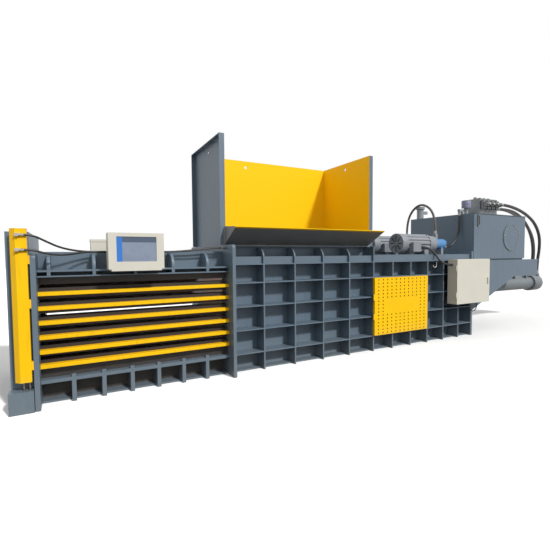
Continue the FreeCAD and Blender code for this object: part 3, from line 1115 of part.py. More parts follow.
LOOP_X = "(%s + 110)" % BELL_END
PUMP_TOP = "(motor_z + 196)"
SUCTION_END = "(%s + 45)" % PUMP_END
SUCTION_Z = "(motor_z - 60)"
LOCK_HOSE_X = "(column_left + 100)"
CABLE_Y = CABINET_BACK + " - 100"
LOOP_Y = CABINET_BACK + " - 105"
CORDS = {
    "main_hose_outer": ("hose_size", [
        (STUB_X, *HOSE_STARTS[0]), (7060, *HOSE_STARTS[0]), (7600, -270, 2712), (8100, -235, 2595),
        (8560, -195, 2400), (8880, -150, 2090), (8980, -105, 1740), (PORTS[0][0], PORTS[0][1], 1420),
        (*PORTS[0], PORT_TOP)]),
    "main_hose_middle": ("hose_size", [
        (STUB_X, *HOSE_STARTS[1]), (7060, *HOSE_STARTS[1]), (7560, -160, 2640), (8040, -120, 2510),
        (8480, -75, 2310), (8800, -30, 2020), (8930, 5, 1720), (PORTS[1][0], PORTS[1][1], 1400),
        (*PORTS[1], PORT_TOP)]),
    "main_hose_inner": ("hose_size", [
        (STUB_X, *HOSE_STARTS[2]), (7040, *HOSE_STARTS[2]), (7500, -365, 2560), (7920, -285, 2420),
        (8310, -205, 2200), (8610, -125, 1920), (8760, -65, 1620), (PORTS[2][0], PORTS[2][1], 1360),
        (*PORTS[2], PORT_TOP)]),
    "pump_loop_hose": ("loop_size", [
        (LOOP_X, "far_motor_y", PUMP_TOP), (LOOP_X, "far_motor_y", 2290), (LOOP_X + " + 8", 130, 2550),
        (LOOP_X, -110, 2670), (LOOP_X + " + 8", -350, 2550), (LOOP_X, "near_motor_y", 2290),
        (LOOP_X, "near_motor_y", PUMP_TOP)]),
    "suction_hose": ("loop_size", [
        SUCTION, (SUCTION[0], SUCTION[1], 2270), (5159, -495, 2049), (5064, -483, 1879),
        (4905, "near_motor_y", SUCTION_Z), (SUCTION_END, "near_motor_y", SUCTION_Z)]),
    "cabinet_cable": ("cable_size", [
        ("cabinet_start", CABLE_Y, 1430), (4233, CABLE_Y, 1430), (4110, -857, 1528), (4105, -759, 1669),
        (3982, -690, 1768), (TERMINAL_END, -690, 1768)]),
    "cabinet_loop_cable": ("thin_cable_size", [
        (4915, LOOP_Y, "cabinet_low"), (4915, LOOP_Y, 575), (5035, LOOP_Y, 490), (5155, LOOP_Y, 575),
        (5155, LOOP_Y, "cabinet_low")]),
    "lock_hose_upper": ("lock_hose_size", [
        (LOCK_HOSE_X, PORT_LINE[1], LOCK_PORT_Z[0]), (-2240, PORT_LINE[1], LOCK_PORT_Z[0]), (-2120, -930, 1795),
        (-2000, -830, 1735), (-1850, -720, 1700), (-1680, -650, 1688), (-1430, -628, 1685), (-1180, -637, 1688),
        (-930, -628, 1685), (-680, -640, 1691), (-430, -655, 1712), (-240, *LOCK_STUBS[0]),
        (LOCK_STUB, *LOCK_STUBS[0])]),
    "lock_hose_lower": ("lock_hose_size", [
        (LOCK_HOSE_X, PORT_LINE[1], LOCK_PORT_Z[1]), (-2240, PORT_LINE[1], LOCK_PORT_Z[1]), (-2130, -950, 1668),
        (-2010, -880, 1650), (-1880, -800, 1660), (-1750, -720, 1686), (-1560, -682, 1690), (-1310, -674, 1687),
        (-1060, -684, 1690), (-810, -676, 1687), (-560, -690, 1694), (-340, -706, 1716), (-190, *LOCK_STUBS[1]),
        (LOCK_STUB, *LOCK_STUBS[1])]),
}
for name, (diameter, points) in CORDS.items():
    cord(name, diameter, points)

# ---------------------------------------------------------------- checks and export
doc.recompute()
for thing in doc.Objects:
    if "Invalid" in thing.State or "Error" in thing.State:
        raise RuntimeError("%s is not valid: %s" % (thing.Label, thing.State))
os.makedirs("parts", exist_ok=True)
for name, thing in nodes.items():
    if thing.Shape.isNull() or not thing.Shape.isValid() or not thing.Shape.Solids:
        raise RuntimeError("%s has no valid shape" % name)
    thing.Shape.exportStep("parts/%s.step" % name)
print("%d sub-parts" % len(nodes))
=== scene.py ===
import math

import bmesh
import bpy
from mathutils import Matrix, Vector


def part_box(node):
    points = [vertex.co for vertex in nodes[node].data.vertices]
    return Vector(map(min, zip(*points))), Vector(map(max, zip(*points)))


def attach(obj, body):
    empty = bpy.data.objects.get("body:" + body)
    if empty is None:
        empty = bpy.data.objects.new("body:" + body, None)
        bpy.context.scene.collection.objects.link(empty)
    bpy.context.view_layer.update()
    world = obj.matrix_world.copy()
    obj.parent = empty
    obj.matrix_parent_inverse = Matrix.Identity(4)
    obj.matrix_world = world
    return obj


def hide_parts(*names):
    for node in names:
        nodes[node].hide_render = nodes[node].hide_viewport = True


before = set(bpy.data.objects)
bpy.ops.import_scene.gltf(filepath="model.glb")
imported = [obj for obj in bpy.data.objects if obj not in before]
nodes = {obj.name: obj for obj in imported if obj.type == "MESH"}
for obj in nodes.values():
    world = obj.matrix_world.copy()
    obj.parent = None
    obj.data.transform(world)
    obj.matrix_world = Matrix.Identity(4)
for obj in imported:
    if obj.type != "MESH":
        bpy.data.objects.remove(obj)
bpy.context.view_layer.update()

# ---------------------------------------------------------------- studio
# A pale floor under an evenly pale sky, with one broad lamp from the upper right and front. The
# camera stands at eye height beside the bale chamber and sees the machine from its controls' side.
EYE = Vector((-1.92, -5.617, 1.628))
YAW, PITCH, ROLL = (math.radians(angle) for angle in (28.45, -2.92, -0.44))
SENSOR = 36
FOCUS_PIXELS = 381
FRAME_PIXELS = 550
SIGHT_LIMIT = 200
TO_LAMP = Vector((0.38, -1.18, 1.0))
LAMP_STRENGTH = 2.75
LAMP_SPREAD = math.radians(5)
SKY_STRENGTH = 0.72
FLOOR_REACH = 60
FLOOR_Z = -0.001


def linear(colour):
    """An sRGB colour such as '6f808d' as the linear values that a shader takes."""
    parts = [int(colour[place:place + 2], 16) / 255 for place in (0, 2, 4)]
    return tuple(part / 12.92 if part <= 0.04045 else ((part + 0.055) / 1.055) ** 2.4
                 for part in parts) + (1.0,)


def per_metre(*sizes):
    """How often a pattern repeats in a metre, from the size of one repeat in millimetres."""
    counts = tuple(1000 / size for size in sizes)
    return counts if len(counts) > 1 else counts[0]


def add(tree, kind, inputs=None, **settings):
    """Add a node. An input is a value or another node's output."""
    made = tree.nodes.new(kind)
    for name, value in settings.items():
        setattr(made, name, value)
    for socket, value in (inputs or {}).items():
        if isinstance(value, bpy.types.NodeSocket):
            tree.links.new(value, made.inputs[socket])
        else:
            made.inputs[socket].default_value = value
    return made


def blank(name):
    """A new material, its emptied node tree, and the socket that gives the place on the object."""
    made = bpy.data.materials.new(name)
    made.use_nodes = True
    made.node_tree.nodes.clear()
    where = add(made.node_tree, "ShaderNodeTexCoord").outputs["Object"]
    return made, made.node_tree, where


def on_show(tree):
    """1 where the studio is seen, also in gloss and through glass, and 0 where it only gives light."""
    rays = add(tree, "ShaderNodeLightPath").outputs
    direct = add(tree, "ShaderNodeMath", {0: rays["Is Camera Ray"], 1: rays["Is Transmission Ray"]},
                 operation="MAXIMUM")
    return add(tree, "ShaderNodeMath", {0: direct.outputs[0], 1: rays["Is Glossy Ray"]},
               operation="MAXIMUM").outputs[0]


ahead = Vector((math.sin(YAW) * math.cos(PITCH), math.cos(YAW) * math.cos(PITCH), math.sin(PITCH)))
level = Vector((math.cos(YAW), -math.sin(YAW), 0))
upward = level.cross(ahead)
across = math.cos(ROLL) * level + math.sin(ROLL) * upward
upright = -math.sin(ROLL) * level + math.cos(ROLL) * upward
camera = bpy.data.objects.new("camera", bpy.data.cameras.new("camera"))
camera.data.sensor_width = SENSOR
camera.data.lens = FOCUS_PIXELS / FRAME_PIXELS * SENSOR
camera.data.clip_end = SIGHT_LIMIT
camera.matrix_world = Matrix((across, upright, -ahead)).transposed().to_4x4()
camera.location = EYE
bpy.context.collection.objects.link(camera)
bpy.context.scene.camera = camera

lamp = bpy.data.objects.new("lamp", bpy.data.lights.new("lamp", "SUN"))
lamp.data.energy = LAMP_STRENGTH
lamp.data.angle = LAMP_SPREAD
lamp.rotation_euler = TO_LAMP.to_track_quat("Z", "Y").to_euler()
bpy.context.collection.objects.link(lamp)

world = bpy.data.worlds.new("sky")
bpy.context.scene.world = world
world.use_nodes = True
sky = world.node_tree
sky.nodes.clear()
strength = add(sky, "ShaderNodeMapRange", {"Value": on_show(sky), "To Min": SKY_STRENGTH, "To Max": 1.0})
shine = add(sky, "ShaderNodeBackground", {
    "Color": linear("ffffff"), "Strength": strength.outputs["Result"]})
add(sky, "ShaderNodeOutputWorld", {"Surface": shine.outputs[0]})
bpy.context.scene.view_settings.view_transform = "Standard"

ground = bmesh.new()
bmesh.ops.create_grid(ground, x_segments=1, y_segments=1, size=FLOOR_REACH)
floor_mesh = bpy.data.meshes.new("studio_floor")
ground.to_mesh(floor_mesh)
ground.free()
floor = bpy.data.objects.new("studio_floor", floor_mesh)
floor.location.z = FLOOR_Z
bpy.context.collection.objects.link(floor)
floor_paint, tree, where = blank("pale studio floor")
fleck = add(tree, "ShaderNodeTexNoise", {"Vector": where, "Scale": per_metre(667), "Detail": 4.0})
tone = add(tree, "ShaderNodeMix", {
    "Factor": fleck.outputs["Fac"], "A": linear("f1f1f0"), "B": linear("f8f8f7")}, data_type="RGBA")
# The floor is seen pale, but it throws little light back, so that the machine keeps its dark bays.
cast = add(tree, "ShaderNodeMix", {
    "Factor": on_show(tree), "A": linear("6d675f"), "B": tone.outputs["Result"]}, data_type="RGBA")
matt = add(tree, "ShaderNodeBsdfDiffuse", {"Color": cast.outputs["Result"], "Roughness": 0.6})
add(tree, "ShaderNodeOutputMaterial", {"Surface": matt.outputs[0]})
floor_mesh.materials.append(floor_paint)

# ---------------------------------------------------------------- floor, underframe and frame plates
# Hot-rolled plate, flame cut and welded, sprayed in one coat of blue-grey alkyd enamel. Inside,
# where bales slide, the paint is gone and the plate is bare, scoured along its length.
BLUE = "637482"
BLUE_DEEP = "5a6976"
RUN_DARK = "2c3238"
DUST = "9a978e"
DUST_HEIGHT = 0.45
SCOURED = ("8d7b74", "5d4d47")
# A second finish starts this far short of the face that it covers, so that it takes the whole face.
TOUCH = 0.0005
floor_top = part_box("floor_plate")[1].z


def past(tree, where, plane):
    """1 past a plane, given as its normal and its distance from the origin, and 0 before it."""
    normal, distance = plane
    reach = add(tree, "ShaderNodeVectorMath", {0: where, 1: normal}, operation="DOT_PRODUCT")
    return add(tree, "ShaderNodeMath", {0: reach.outputs["Value"], 1: distance},
               operation="GREATER_THAN").outputs[0]


def inner_face(tree, where, finish, bump):
    """The inside of a plate, in two tones: steel that bales have scoured, or a second enamel."""
    light, dark = finish
    steel = finish == SCOURED
    rubbed = add(tree, "ShaderNodeMapping", {"Vector": where, "Scale": per_metre(500, 33.33, 16.667)})
    scour = add(tree, "ShaderNodeTexNoise", {"Vector": rubbed.outputs[0], "Scale": 1.0, "Detail": 4.0})
    plate = add(tree, "ShaderNodeMix", {
        "Factor": scour.outputs["Fac"], "A": linear(dark), "B": linear(light)}, data_type="RGBA")
    return add(tree, "ShaderNodeBsdfPrincipled", {
        "Base Color": plate.outputs["Result"], "Roughness": 0.5, "Normal": bump, "IOR": 1.5,
        "Metallic": 0.35 if steel else 0.0, "Specular IOR Level": 0.5 if steel else 0.15}).outputs[0]


def enamel(name, colour, deep, inside=(), second=SCOURED, gloss=0.36, shine=0.5, edge=None):
    """Sprayed alkyd enamel: soft cloudy colour, runs, orange peel, and dust near the floor.

    inside is a list of planes. Past all of them, or past the plane edge, the second finish shows.
    """
    made, tree, where = blank(name)
    cloud = add(tree, "ShaderNodeTexNoise", {
        "Vector": where, "Scale": per_metre(588), "Detail": 5.0, "Roughness": 0.55})
    paint = add(tree, "ShaderNodeMix", {
        "Factor": cloud.outputs["Fac"], "A": linear(deep), "B": linear(colour)}, data_type="RGBA")
    # Runs are 30 mm wide and ten times as long down the plate.
    drawn = add(tree, "ShaderNodeMapping", {"Vector": where, "Scale": per_metre(30.3, 30.3, 333)})
    runs = add(tree, "ShaderNodeTexNoise", {"Vector": drawn.outputs[0], "Scale": 1.0, "Detail": 3.0})
    streak = add(tree, "ShaderNodeMapRange", {
        "Value": runs.outputs["Fac"], "From Min": 0.52, "From Max": 0.78, "To Min": 0.0, "To Max": 0.16})
    drips = add(tree, "ShaderNodeMix", {
        "Factor": streak.outputs["Result"], "A": paint.outputs["Result"], "B": linear(RUN_DARK)},
        data_type="RGBA")
    height = add(tree, "ShaderNodeSeparateXYZ", {"Vector": where})
    low = add(tree, "ShaderNodeMapRange", {
        "Value": height.outputs["Z"], "From Min": 0.0, "From Max": DUST_HEIGHT, "To Min": 0.34,
        "To Max": 0.0})
    speck = add(tree, "ShaderNodeTexNoise", {
        "Vector": where, "Scale": per_metre(71.4), "Detail": 6.0, "Roughness": 0.7})
    settled = add(tree, "ShaderNodeMath", {0: low.outputs["Result"], 1: speck.outputs["Fac"]},
                  operation="MULTIPLY")
    skin = add(tree, "ShaderNodeMix", {
        "Factor": settled.outputs[0], "A": drips.outputs["Result"], "B": linear(DUST)},
        data_type="RGBA")
    rough = add(tree, "ShaderNodeMapRange", {
        "Value": speck.outputs["Fac"], "To Min": gloss, "To Max": gloss + 0.2})
    # Orange peel is 2 mm across on the real coat; it is drawn at 20 mm so that it shows.
    peel = add(tree, "ShaderNodeTexNoise", {"Vector": where, "Scale": per_metre(20), "Detail": 2.0})
    bump = add(tree, "ShaderNodeBump", {
        "Height": peel.outputs["Fac"], "Strength": 0.12, "Distance": 0.004})
    surface = add(tree, "ShaderNodeBsdfPrincipled", {
        "Base Color": skin.outputs["Result"], "Roughness": rough.outputs["Result"],
        "Normal": bump.outputs[0], "IOR": 1.5, "Specular IOR Level": shine}).outputs[0]
    if inside:
        share = 1.0
        for plane in inside:
            share = add(tree, "ShaderNodeMath", {0: past(tree, where, plane), 1: share},
                        operation="MULTIPLY").outputs[0]
        if edge:
            share = add(tree, "ShaderNodeMath", {0: past(tree, where, edge), 1: share},
                        operation="MAXIMUM").outputs[0]
        core = inner_face(tree, where, second, bump.outputs[0])
        surface = add(tree, "ShaderNodeMixShader", {0: share, 1: surface, 2: core}).outputs[0]
    add(tree, "ShaderNodeOutputMaterial", {"Surface": surface})
    return made


def coat(material, *names):
    """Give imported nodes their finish."""
    for name in names:
        slots = nodes[name].data.materials
        slots.clear()
        slots.append(material)


def soften(radius, *names):
    """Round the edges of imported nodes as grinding, folding and paint leave them."""
    for name in names:
        joined = nodes[name].modifiers.new("joined", "WELD")
        joined.merge_threshold = 0.00005
        rounded = nodes[name].modifiers.new("rounded", "BEVEL")
        rounded.width = radius
        rounded.segments = 2
        rounded.limit_method = "ANGLE"
        rounded.angle_limit = math.radians(50)
        rounded.harden_normals = True


blue_enamel = enamel("blue-grey enamel on plate", BLUE, BLUE_DEEP)
coat(blue_enamel, "underframe", "discharge_frame", "mid_frame", "rear_frame")
coat(enamel("floor plate scoured by bales", BLUE, BLUE_DEEP, [((0, 0, 1), floor_top - TOUCH)]),
     "floor_plate")
soften(0.002, "underframe", "discharge_frame", "mid_frame", "rear_frame")

# ---------------------------------------------------------------- bale chamber
# Heavy beams with wire slots between them, coloured near-black as painted shade for the recess behind
# the tie bars. Square bars in signal yellow tie them, and painted rails and gussets close them above and
# below.
# These near-black browns are painted shade for the recess behind the tie bars.
RECESS_SHADE_BLACK = "1f1a1b"
RECESS_SHADE_BROWN = "2c2423"
YELLOW = "fdca0a"
YELLOW_DEEP = "f8c007"
half_bore = -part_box("chamber_beams_near")[1].y
roof_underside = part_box("chamber_roof")[0].z
SIDES = (("near", 1), ("far", -1))
# The beams' outer faces take the painted recess shade; their inner faces are bare steel.
for name, turn in SIDES:
    coat(enamel("mill scale on the %s beams" % name, RECESS_SHADE_BROWN, RECESS_SHADE_BLACK,
                [((0, turn, 0), -half_bore - TOUCH)], gloss=0.5), "chamber_beams_" + name)
yellow_enamel = enamel("signal yellow enamel", YELLOW, YELLOW_DEEP, shine=0.2)
coat(yellow_enamel, "tie_bars_near", "tie_bars_far")
coat(blue_enamel, "chamber_rails", "chamber_gussets")
soften(0.003, "tie_bars_near", "tie_bars_far")
soften(0.002, "chamber_rails", "chamber_gussets")
coat(enamel("chamber roof, bare beneath", BLUE, BLUE_DEEP, [((0, 0, -1), -roof_underside - TOUCH)]),
     "chamber_roof")

# ---------------------------------------------------------------- side walls, ribs and motor deck
# Wall plate with upright and cross ribs and an edge strip welded on, sprayed after welding. The
# inner face is bare. The deck carries the motors, and a low curb takes the hopper.
for name, turn in SIDES:
    coat(enamel("%s wall, bare inside" % name, BLUE, BLUE_DEEP, [((0, turn, 0), -half_bore - TOUCH)]),
         "side_wall_" + name)
    coat(blue_enamel, "upright_ribs_" + name, "cross_ribs_" + name)
coat(blue_enamel, "motor_deck", "hopper_curb")
soften(0.002, "upright_ribs_near", "upright_ribs_far", "cross_ribs_near", "cross_ribs_far", "motor_deck")

# ---------------------------------------------------------------- hopper
# Three flanged plates and a slanted lip: blue-grey outside, signal yellow where the waste falls.
# The lip's end plates are yellow towards the waste only, and its yellow laps over the outer edge.
TWO_YELLOWS = ("fdcd0a", "f9c406")
LIP_FOOT_Z = 1.781
LIP_EDGE_Z = 2.003
LIP_LAP = 0.03
left_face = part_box("hopper_left_wall")[1].x
right_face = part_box("hopper_right_wall")[0].x
back_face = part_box("hopper_back_wall")[0].y
for name, plane in (("left", ((1, 0, 0), left_face - TOUCH)),
                    ("right", ((-1, 0, 0), -right_face - TOUCH)),
                    ("back", ((0, -1, 0), -back_face - TOUCH))):
    coat(enamel("%s hopper wall, yellow inside" % name, BLUE, BLUE_DEEP, [plane], TWO_YELLOWS),
         "hopper_%s_wall" % name)
lip_low, lip_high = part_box("hopper_lip")
lip_foot = Vector((0, lip_high.y, LIP_FOOT_Z))
lip_edge = Vector((0, lip_low.y, LIP_EDGE_Z))
lip_along = (lip_edge - lip_foot).normalized()
lip_normal = Vector((0, lip_along.z, -lip_along.y))
coat(enamel("feed lip, yellow above", "6d6f70", "606264", [
    (lip_normal, lip_foot.dot(lip_normal)), ((1, 0, 0), lip_low.x + TOUCH),
    ((-1, 0, 0), TOUCH - lip_high.x)], TWO_YELLOWS,
    edge=(lip_along, lip_edge.dot(lip_along) - LIP_LAP)), "hopper_lip")
soften(0.003, "hopper_lip")

# ---------------------------------------------------------------- ram and main cylinder
# A planed platen and box of plate, a hard-chromed rod, and a honed tube in grey primer with its
# turned cap. A steel pipe in saddles runs along the tube and feeds the rod side.
SMOOTH_LIMIT = math.radians(35)
FLANGE_THICKNESS = 0.07
CAP_RADIUS = 0.2055
PIPE_X, PIPE_Y, PIPE_Z = 5.45, -0.07, 1.06
PIPE_LENGTH = 3.21
PIPE_RADIUS = 0.018
NUT_X = 8.652
NUT_OUTLINE = ((0, 0.027), (0.045, 0.027), (0.05, 0.021))
SADDLES = (5.95, 6.6, 7.25, 7.9, 8.4)
SADDLE_FOOT = 1.005
barrel_low, barrel_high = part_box("cylinder_barrel")
cap_low, cap_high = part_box("cylinder_cap")
cylinder_z = (barrel_low.z + barrel_high.z) / 2


def metal(name, light, dark, marks, rough, metallic=0.9, gap=0.15):
    """Bare or plated metal. Its tool marks have these sizes along the three axes."""
    made, tree, where = blank(name)
    drawn = add(tree, "ShaderNodeMapping", {"Vector": where, "Scale": per_metre(*marks)})
    cut = add(tree, "ShaderNodeTexNoise", {"Vector": drawn.outputs[0], "Scale": 1.0, "Detail": 5.0})
    stain = add(tree, "ShaderNodeTexNoise", {"Vector": where, "Scale": per_metre(250), "Detail": 4.0})
    both = add(tree, "ShaderNodeMath", {0: cut.outputs["Fac"], 1: stain.outputs["Fac"]},
               operation="MULTIPLY")
    tone = add(tree, "ShaderNodeMapRange", {"Value": both.outputs[0], "From Min": 0.1, "From Max": 0.45})
    colour = add(tree, "ShaderNodeMix", {
        "Factor": tone.outputs["Result"], "A": linear(dark), "B": linear(light)}, data_type="RGBA")
    sheen = add(tree, "ShaderNodeMapRange", {
        "Value": cut.outputs["Fac"], "To Min": rough, "To Max": rough + gap})
    bump = add(tree, "ShaderNodeBump", {"Height": cut.outputs["Fac"], "Strength": 0.1, "Distance": 0.002})
    shader = add(tree, "ShaderNodeBsdfPrincipled", {
        "Base Color": colour.outputs["Result"], "Roughness": sheen.outputs["Result"],
        "Metallic": metallic, "Normal": bump.outputs[0]})
    add(tree, "ShaderNodeOutputMaterial", {"Surface": shader.outputs[0]})
    return made


def piece(name, data, material, body="frame"):
    """Put a finished mesh or curve in the scene on its body."""
    made = bpy.data.objects.new(name, data)
    made.data.materials.append(material)
    bpy.context.collection.objects.link(made)
    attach(made, body)
    return made


def build(name, fill, material, body="frame"):
    """Make a piece from a function that fills a bmesh, shaded smooth up to an angle."""
    shape = bmesh.new()
    fill(shape)
    bmesh.ops.recalc_face_normals(shape, faces=shape.faces)
    for edge in shape.edges:
        edge.smooth = len(edge.link_faces) == 2 and edge.calc_face_angle(0) < SMOOTH_LIMIT
    for face in shape.faces:
        face.smooth = True
    mesh = bpy.data.meshes.new(name)
    shape.to_mesh(mesh)
    shape.free()
    return piece(name, mesh, material, body)


def bridge(shape, near, far):
    """Join two rings of points by a band of faces."""
    for index, point in enumerate(near):
        after = (index + 1) % len(near)
        shape.faces.new((point, near[after], far[after], far[index]))


def turned(shape, outline, start, along, sides=20):
    """Turn an outline of (distance along the axis, radius) about a line into the mesh."""
    axis = Vector(along).normalized()
    first = axis.orthogonal().normalized()
    if abs(axis.z) < 0.9:
        first = axis.cross(Vector((0, 0, 1))).normalized()
    second = axis.cross(first)
    rings = []
    for distance, radius in outline:
        centre = Vector(start) + axis * distance
        angles = [step * math.tau / sides for step in range(sides)]
        rings.append([shape.verts.new(centre + radius * (math.cos(a) * first + math.sin(a) * second))
                      for a in angles])
    for near, far in zip(rings, rings[1:]):
        bridge(shape, near, far)
    shape.faces.new(list(reversed(rings[0])))
    shape.faces.new(rings[-1])


def bolt_ring(shape, centre, along, radius, count, across_flats, tall, phase=0.0):
    """Hexagon heads on washers round a circle, standing out along X or Y."""
    washer, head, top = (across_flats * part for part in (0.72, 0.56, 0.48))
    for step in range(count):
        a = phase + step * math.tau / count
        swing = (0, math.cos(a), math.sin(a)) if along[0] else (math.cos(a), 0, math.sin(a))
        spot = Vector(centre) + radius * Vector(swing)
        turned(shape, [(0, washer), (0.003, washer)], spot, along, 16)
        turned(shape, [(0.003, head), (tall - 0.002, head), (tall, top)], spot, along, 6)


def pipe_block(shape, start, end, half_width, rise):
    """A square-edged block from the tube up round the pipe."""
    low = Vector((start, PIPE_Y - half_width, SADDLE_FOOT))
    high = Vector((end, PIPE_Y + half_width, PIPE_Z + rise))
    matrix = Matrix.Translation((low + high) / 2) @ Matrix.Diagonal((*(high - low), 1))
    bmesh.ops.create_cube(shape, size=1, matrix=matrix)


def cap_skin(shape):
    """The turned outside of the cap, over the part's flat-sided one."""
    start = (cap_low.x - TOUCH, 0, cylinder_z)
    length = cap_high.x - cap_low.x + 2 * TOUCH
    turned(shape, [
        (0, CAP_RADIUS - 0.0095), (0.004, CAP_RADIUS - 0.002), (0.01, CAP_RADIUS),
        (length - 0.01, CAP_RADIUS), (length - 0.004, CAP_RADIUS - 0.002),
        (length, CAP_RADIUS - 0.0075)], start, (1, 0, 0), 72)


def rod_side_pipe(shape):
    """The pipe, its union nut, the saddles that hold it, and the block over the rod-side port."""
    turned(shape, [(0, PIPE_RADIUS), (PIPE_LENGTH, PIPE_RADIUS)], (PIPE_X, PIPE_Y, PIPE_Z), (1, 0, 0))
    turned(shape, NUT_OUTLINE, (NUT_X, PIPE_Y, PIPE_Z), (-1, 0, 0), 6)
    for x in SADDLES:
        pipe_block(shape, x - 0.025, x + 0.025, half_width=0.042, rise=0.03)
    pipe_block(shape, PIPE_X - 0.05, PIPE_X + 0.04, half_width=0.045, rise=0.035)


# Planing marks are 1 mm apart; they are drawn 15 mm apart so that they show.
planed = metal("machined steel plate", "9a918a", "5e5650", (333, 15.15, 15.15), 0.35)
coat(planed, "ram_platen", "ram_box", "lock_bar")
# Ground chrome mirrors, with faint stripes along the rod. Primer dries dull and even.
coat(metal("hard chrome on a ground rod", "d6d8da", "b6b9bc", (500, 25, 25), 0.08, 1.0, 0.06), "piston_rod")
grey_primer = enamel("grey primer on tube", "767d81", "696f74", gloss=0.42)
coat(grey_primer, "cylinder_barrel", "cylinder_cap")
# Zinc plate has a mottled grey gleam, and drawn pipe is smoother along its length.
zinc = metal("zinc-plated fittings", "b9b8b0", "8b8a84", (16.67, 16.67, 16.67), 0.3, 0.85)
flange_centre = (barrel_low.x + FLANGE_THICKNESS, 0, cylinder_z)
build("cylinder_flange_bolts", lambda shape: bolt_ring(
    shape, flange_centre, (1, 0, 0), radius=0.222, count=12, across_flats=0.046, tall=0.03),
    zinc)
build("cylinder_cap_bolts", lambda shape: bolt_ring(
    shape, (cap_high.x, 0, cylinder_z), (1, 0, 0), radius=0.165, count=12, across_flats=0.036,
    tall=0.004, phase=0.26), zinc)
build("cap_skin", cap_skin, grey_primer)
pipe_steel = metal("drawn steel pipe", "8b9093", "6d7276", (500, 20, 20), 0.3, 0.8)
build("rod_side_pipe", rod_side_pipe, pipe_steel)

# ---------------------------------------------------------------- oil tank and its brackets
# A welded tank in the same enamel on two tapered brackets. A round cover closes the manhole
# with a ring of screws, and a gauge glass, a breather cap and a return filter serve the oil.
BREATHER = (5.34, -0.53)
BREATHER_NECK = 0.13
BREATHER_RADIUS = 0.0895
BREATHER_GROOVE = 0.084
GAUGE = (5.337, -0.829, 2.212)
GAUGE_TUBE = ((0, 0.011), (0.19, 0.011))
OIL_LEVEL = 2.33
tank_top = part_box("oil_tank")[1].z
coat(blue_enamel, "tank_brackets", "oil_tank", "inspection_cover")
soften(0.004, "inspection_cover")
cover_low, cover_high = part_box("inspection_cover")
cover_centre = ((cover_low.x + cover_high.x) / 2, cover_low.y, (cover_low.z + cover_high.z) / 2)
build("cover_bolts", lambda shape: bolt_ring(
    shape, cover_centre, (0, -1, 0), radius=0.262, count=24, across_flats=0.022, tall=0.012,
    phase=0.13), zinc)
coat(enamel("grey filter head", "8f9598", "7f8589", gloss=0.4), "tank_fittings")
# Moulded polyamide has a soft sheen. Its grain is under 1 mm; it is drawn at 11 mm so that it shows.
cap_plastic, tree, where = blank("violet-grey polyamide cap")
grain = add(tree, "ShaderNodeTexNoise", {"Vector": where, "Scale": per_metre(11.11), "Detail": 3.0})
shade = add(tree, "ShaderNodeMix", {
    "Factor": grain.outputs["Fac"], "A": linear("6c6f93"), "B": linear("8486a8")}, data_type="RGBA")
pits = add(tree, "ShaderNodeBump", {"Height": grain.outputs["Fac"], "Strength": 0.15, "Distance": 0.002})
body = add(tree, "ShaderNodeBsdfPrincipled", {
    "Base Color": shade.outputs["Result"], "Roughness": 0.42, "Normal": pits.outputs[0], "IOR": 1.5})
add(tree, "ShaderNodeOutputMaterial", {"Surface": body.outputs[0]})


def breather_cover(shape):
    """A grooved cap that fits over the part's plain one."""
    outline = [(0, BREATHER_RADIUS)]
    for groove in (0.012, 0.046):
        outline += [(groove, BREATHER_RADIUS), (groove + 0.004, BREATHER_GROOVE),
                    (groove + 0.012, BREATHER_GROOVE), (groove + 0.016, BREATHER_RADIUS)]
    outline += [(0.122, BREATHER_RADIUS), (0.138, 0.08), (0.1495, 0.05)]
    turned(shape, outline, (*BREATHER, tank_top + BREATHER_NECK + TOUCH), (0, 0, 1), 32)


build("breather_cover", breather_cover, cap_plastic)
# The glass is clear and shiny, with amber oil behind its lower part and shadow above the oil.
glass, tree, where = blank("gauge glass with oil behind")
parts = add(tree, "ShaderNodeSeparateXYZ", {"Vector": where})
oil = add(tree, "ShaderNodeMath", {0: parts.outputs["Z"], 1: OIL_LEVEL}, operation="LESS_THAN")
wave = add(tree, "ShaderNodeTexNoise", {"Vector": where, "Scale": per_metre(33.33)})
amber = add(tree, "ShaderNodeMix", {
    "Factor": wave.outputs["Fac"], "A": linear("3b2a12"), "B": linear("57401c")}, data_type="RGBA")
fill = add(tree, "ShaderNodeMix", {
    "Factor": oil.outputs[0], "A": linear("20262c"), "B": amber.outputs["Result"]}, data_type="RGBA")
pane = add(tree, "ShaderNodeBsdfPrincipled", {
    "Base Color": fill.outputs["Result"], "Roughness": 0.06, "IOR": 1.5})
add(tree, "ShaderNodeOutputMaterial", {"Surface": pane.outputs[0]})
build("gauge_glass", lambda shape: turned(shape, GAUGE_TUBE, GAUGE, (0, 0, 1), 16), glass)

# ---------------------------------------------------------------- valve block
# A phosphated steel manifold with four solenoid valves in a row. Each has a zinc-plated plug at
# the middle of its front and four small screws round it.
VALVES = 4
VALVE_PITCH = 0.15
FIRST_VALVE = 0.085
PLUG_RISE = 0.242
PLUG_OUTLINE = ((0, 0.021), (0.004, 0.024), (0.05, 0.024), (0.054, 0.018))
SCREW_Y = -0.545
SCREW_RISES = (0.17, 0.31)
SCREW_ASIDE = 0.036
SCREW_OUTLINE = ((0, 0.009), (0.008, 0.009))
block_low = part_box("valve_block")[0]
# Phosphate leaves the steel dark, dull and evenly speckled.
coat(metal("phosphated manifold steel", "8b8f90", "686c6e", (25, 25, 25), 0.4, 0.7), "valve_block")


def valve_plugs(shape):
    """The plugs and screws of the four valves."""
    for index in range(VALVES):
        x = block_low.x + FIRST_VALVE + VALVE_PITCH * index
        turned(shape, PLUG_OUTLINE, (x, block_low.y, tank_top + PLUG_RISE), (0, -1, 0))
        for rise in SCREW_RISES:
            for aside in (-SCREW_ASIDE, SCREW_ASIDE):
                turned(shape, SCREW_OUTLINE, (x + aside, SCREW_Y, tank_top + rise), (0, -1, 0), 6)


build("valve_plugs", valve_plugs, zinc)

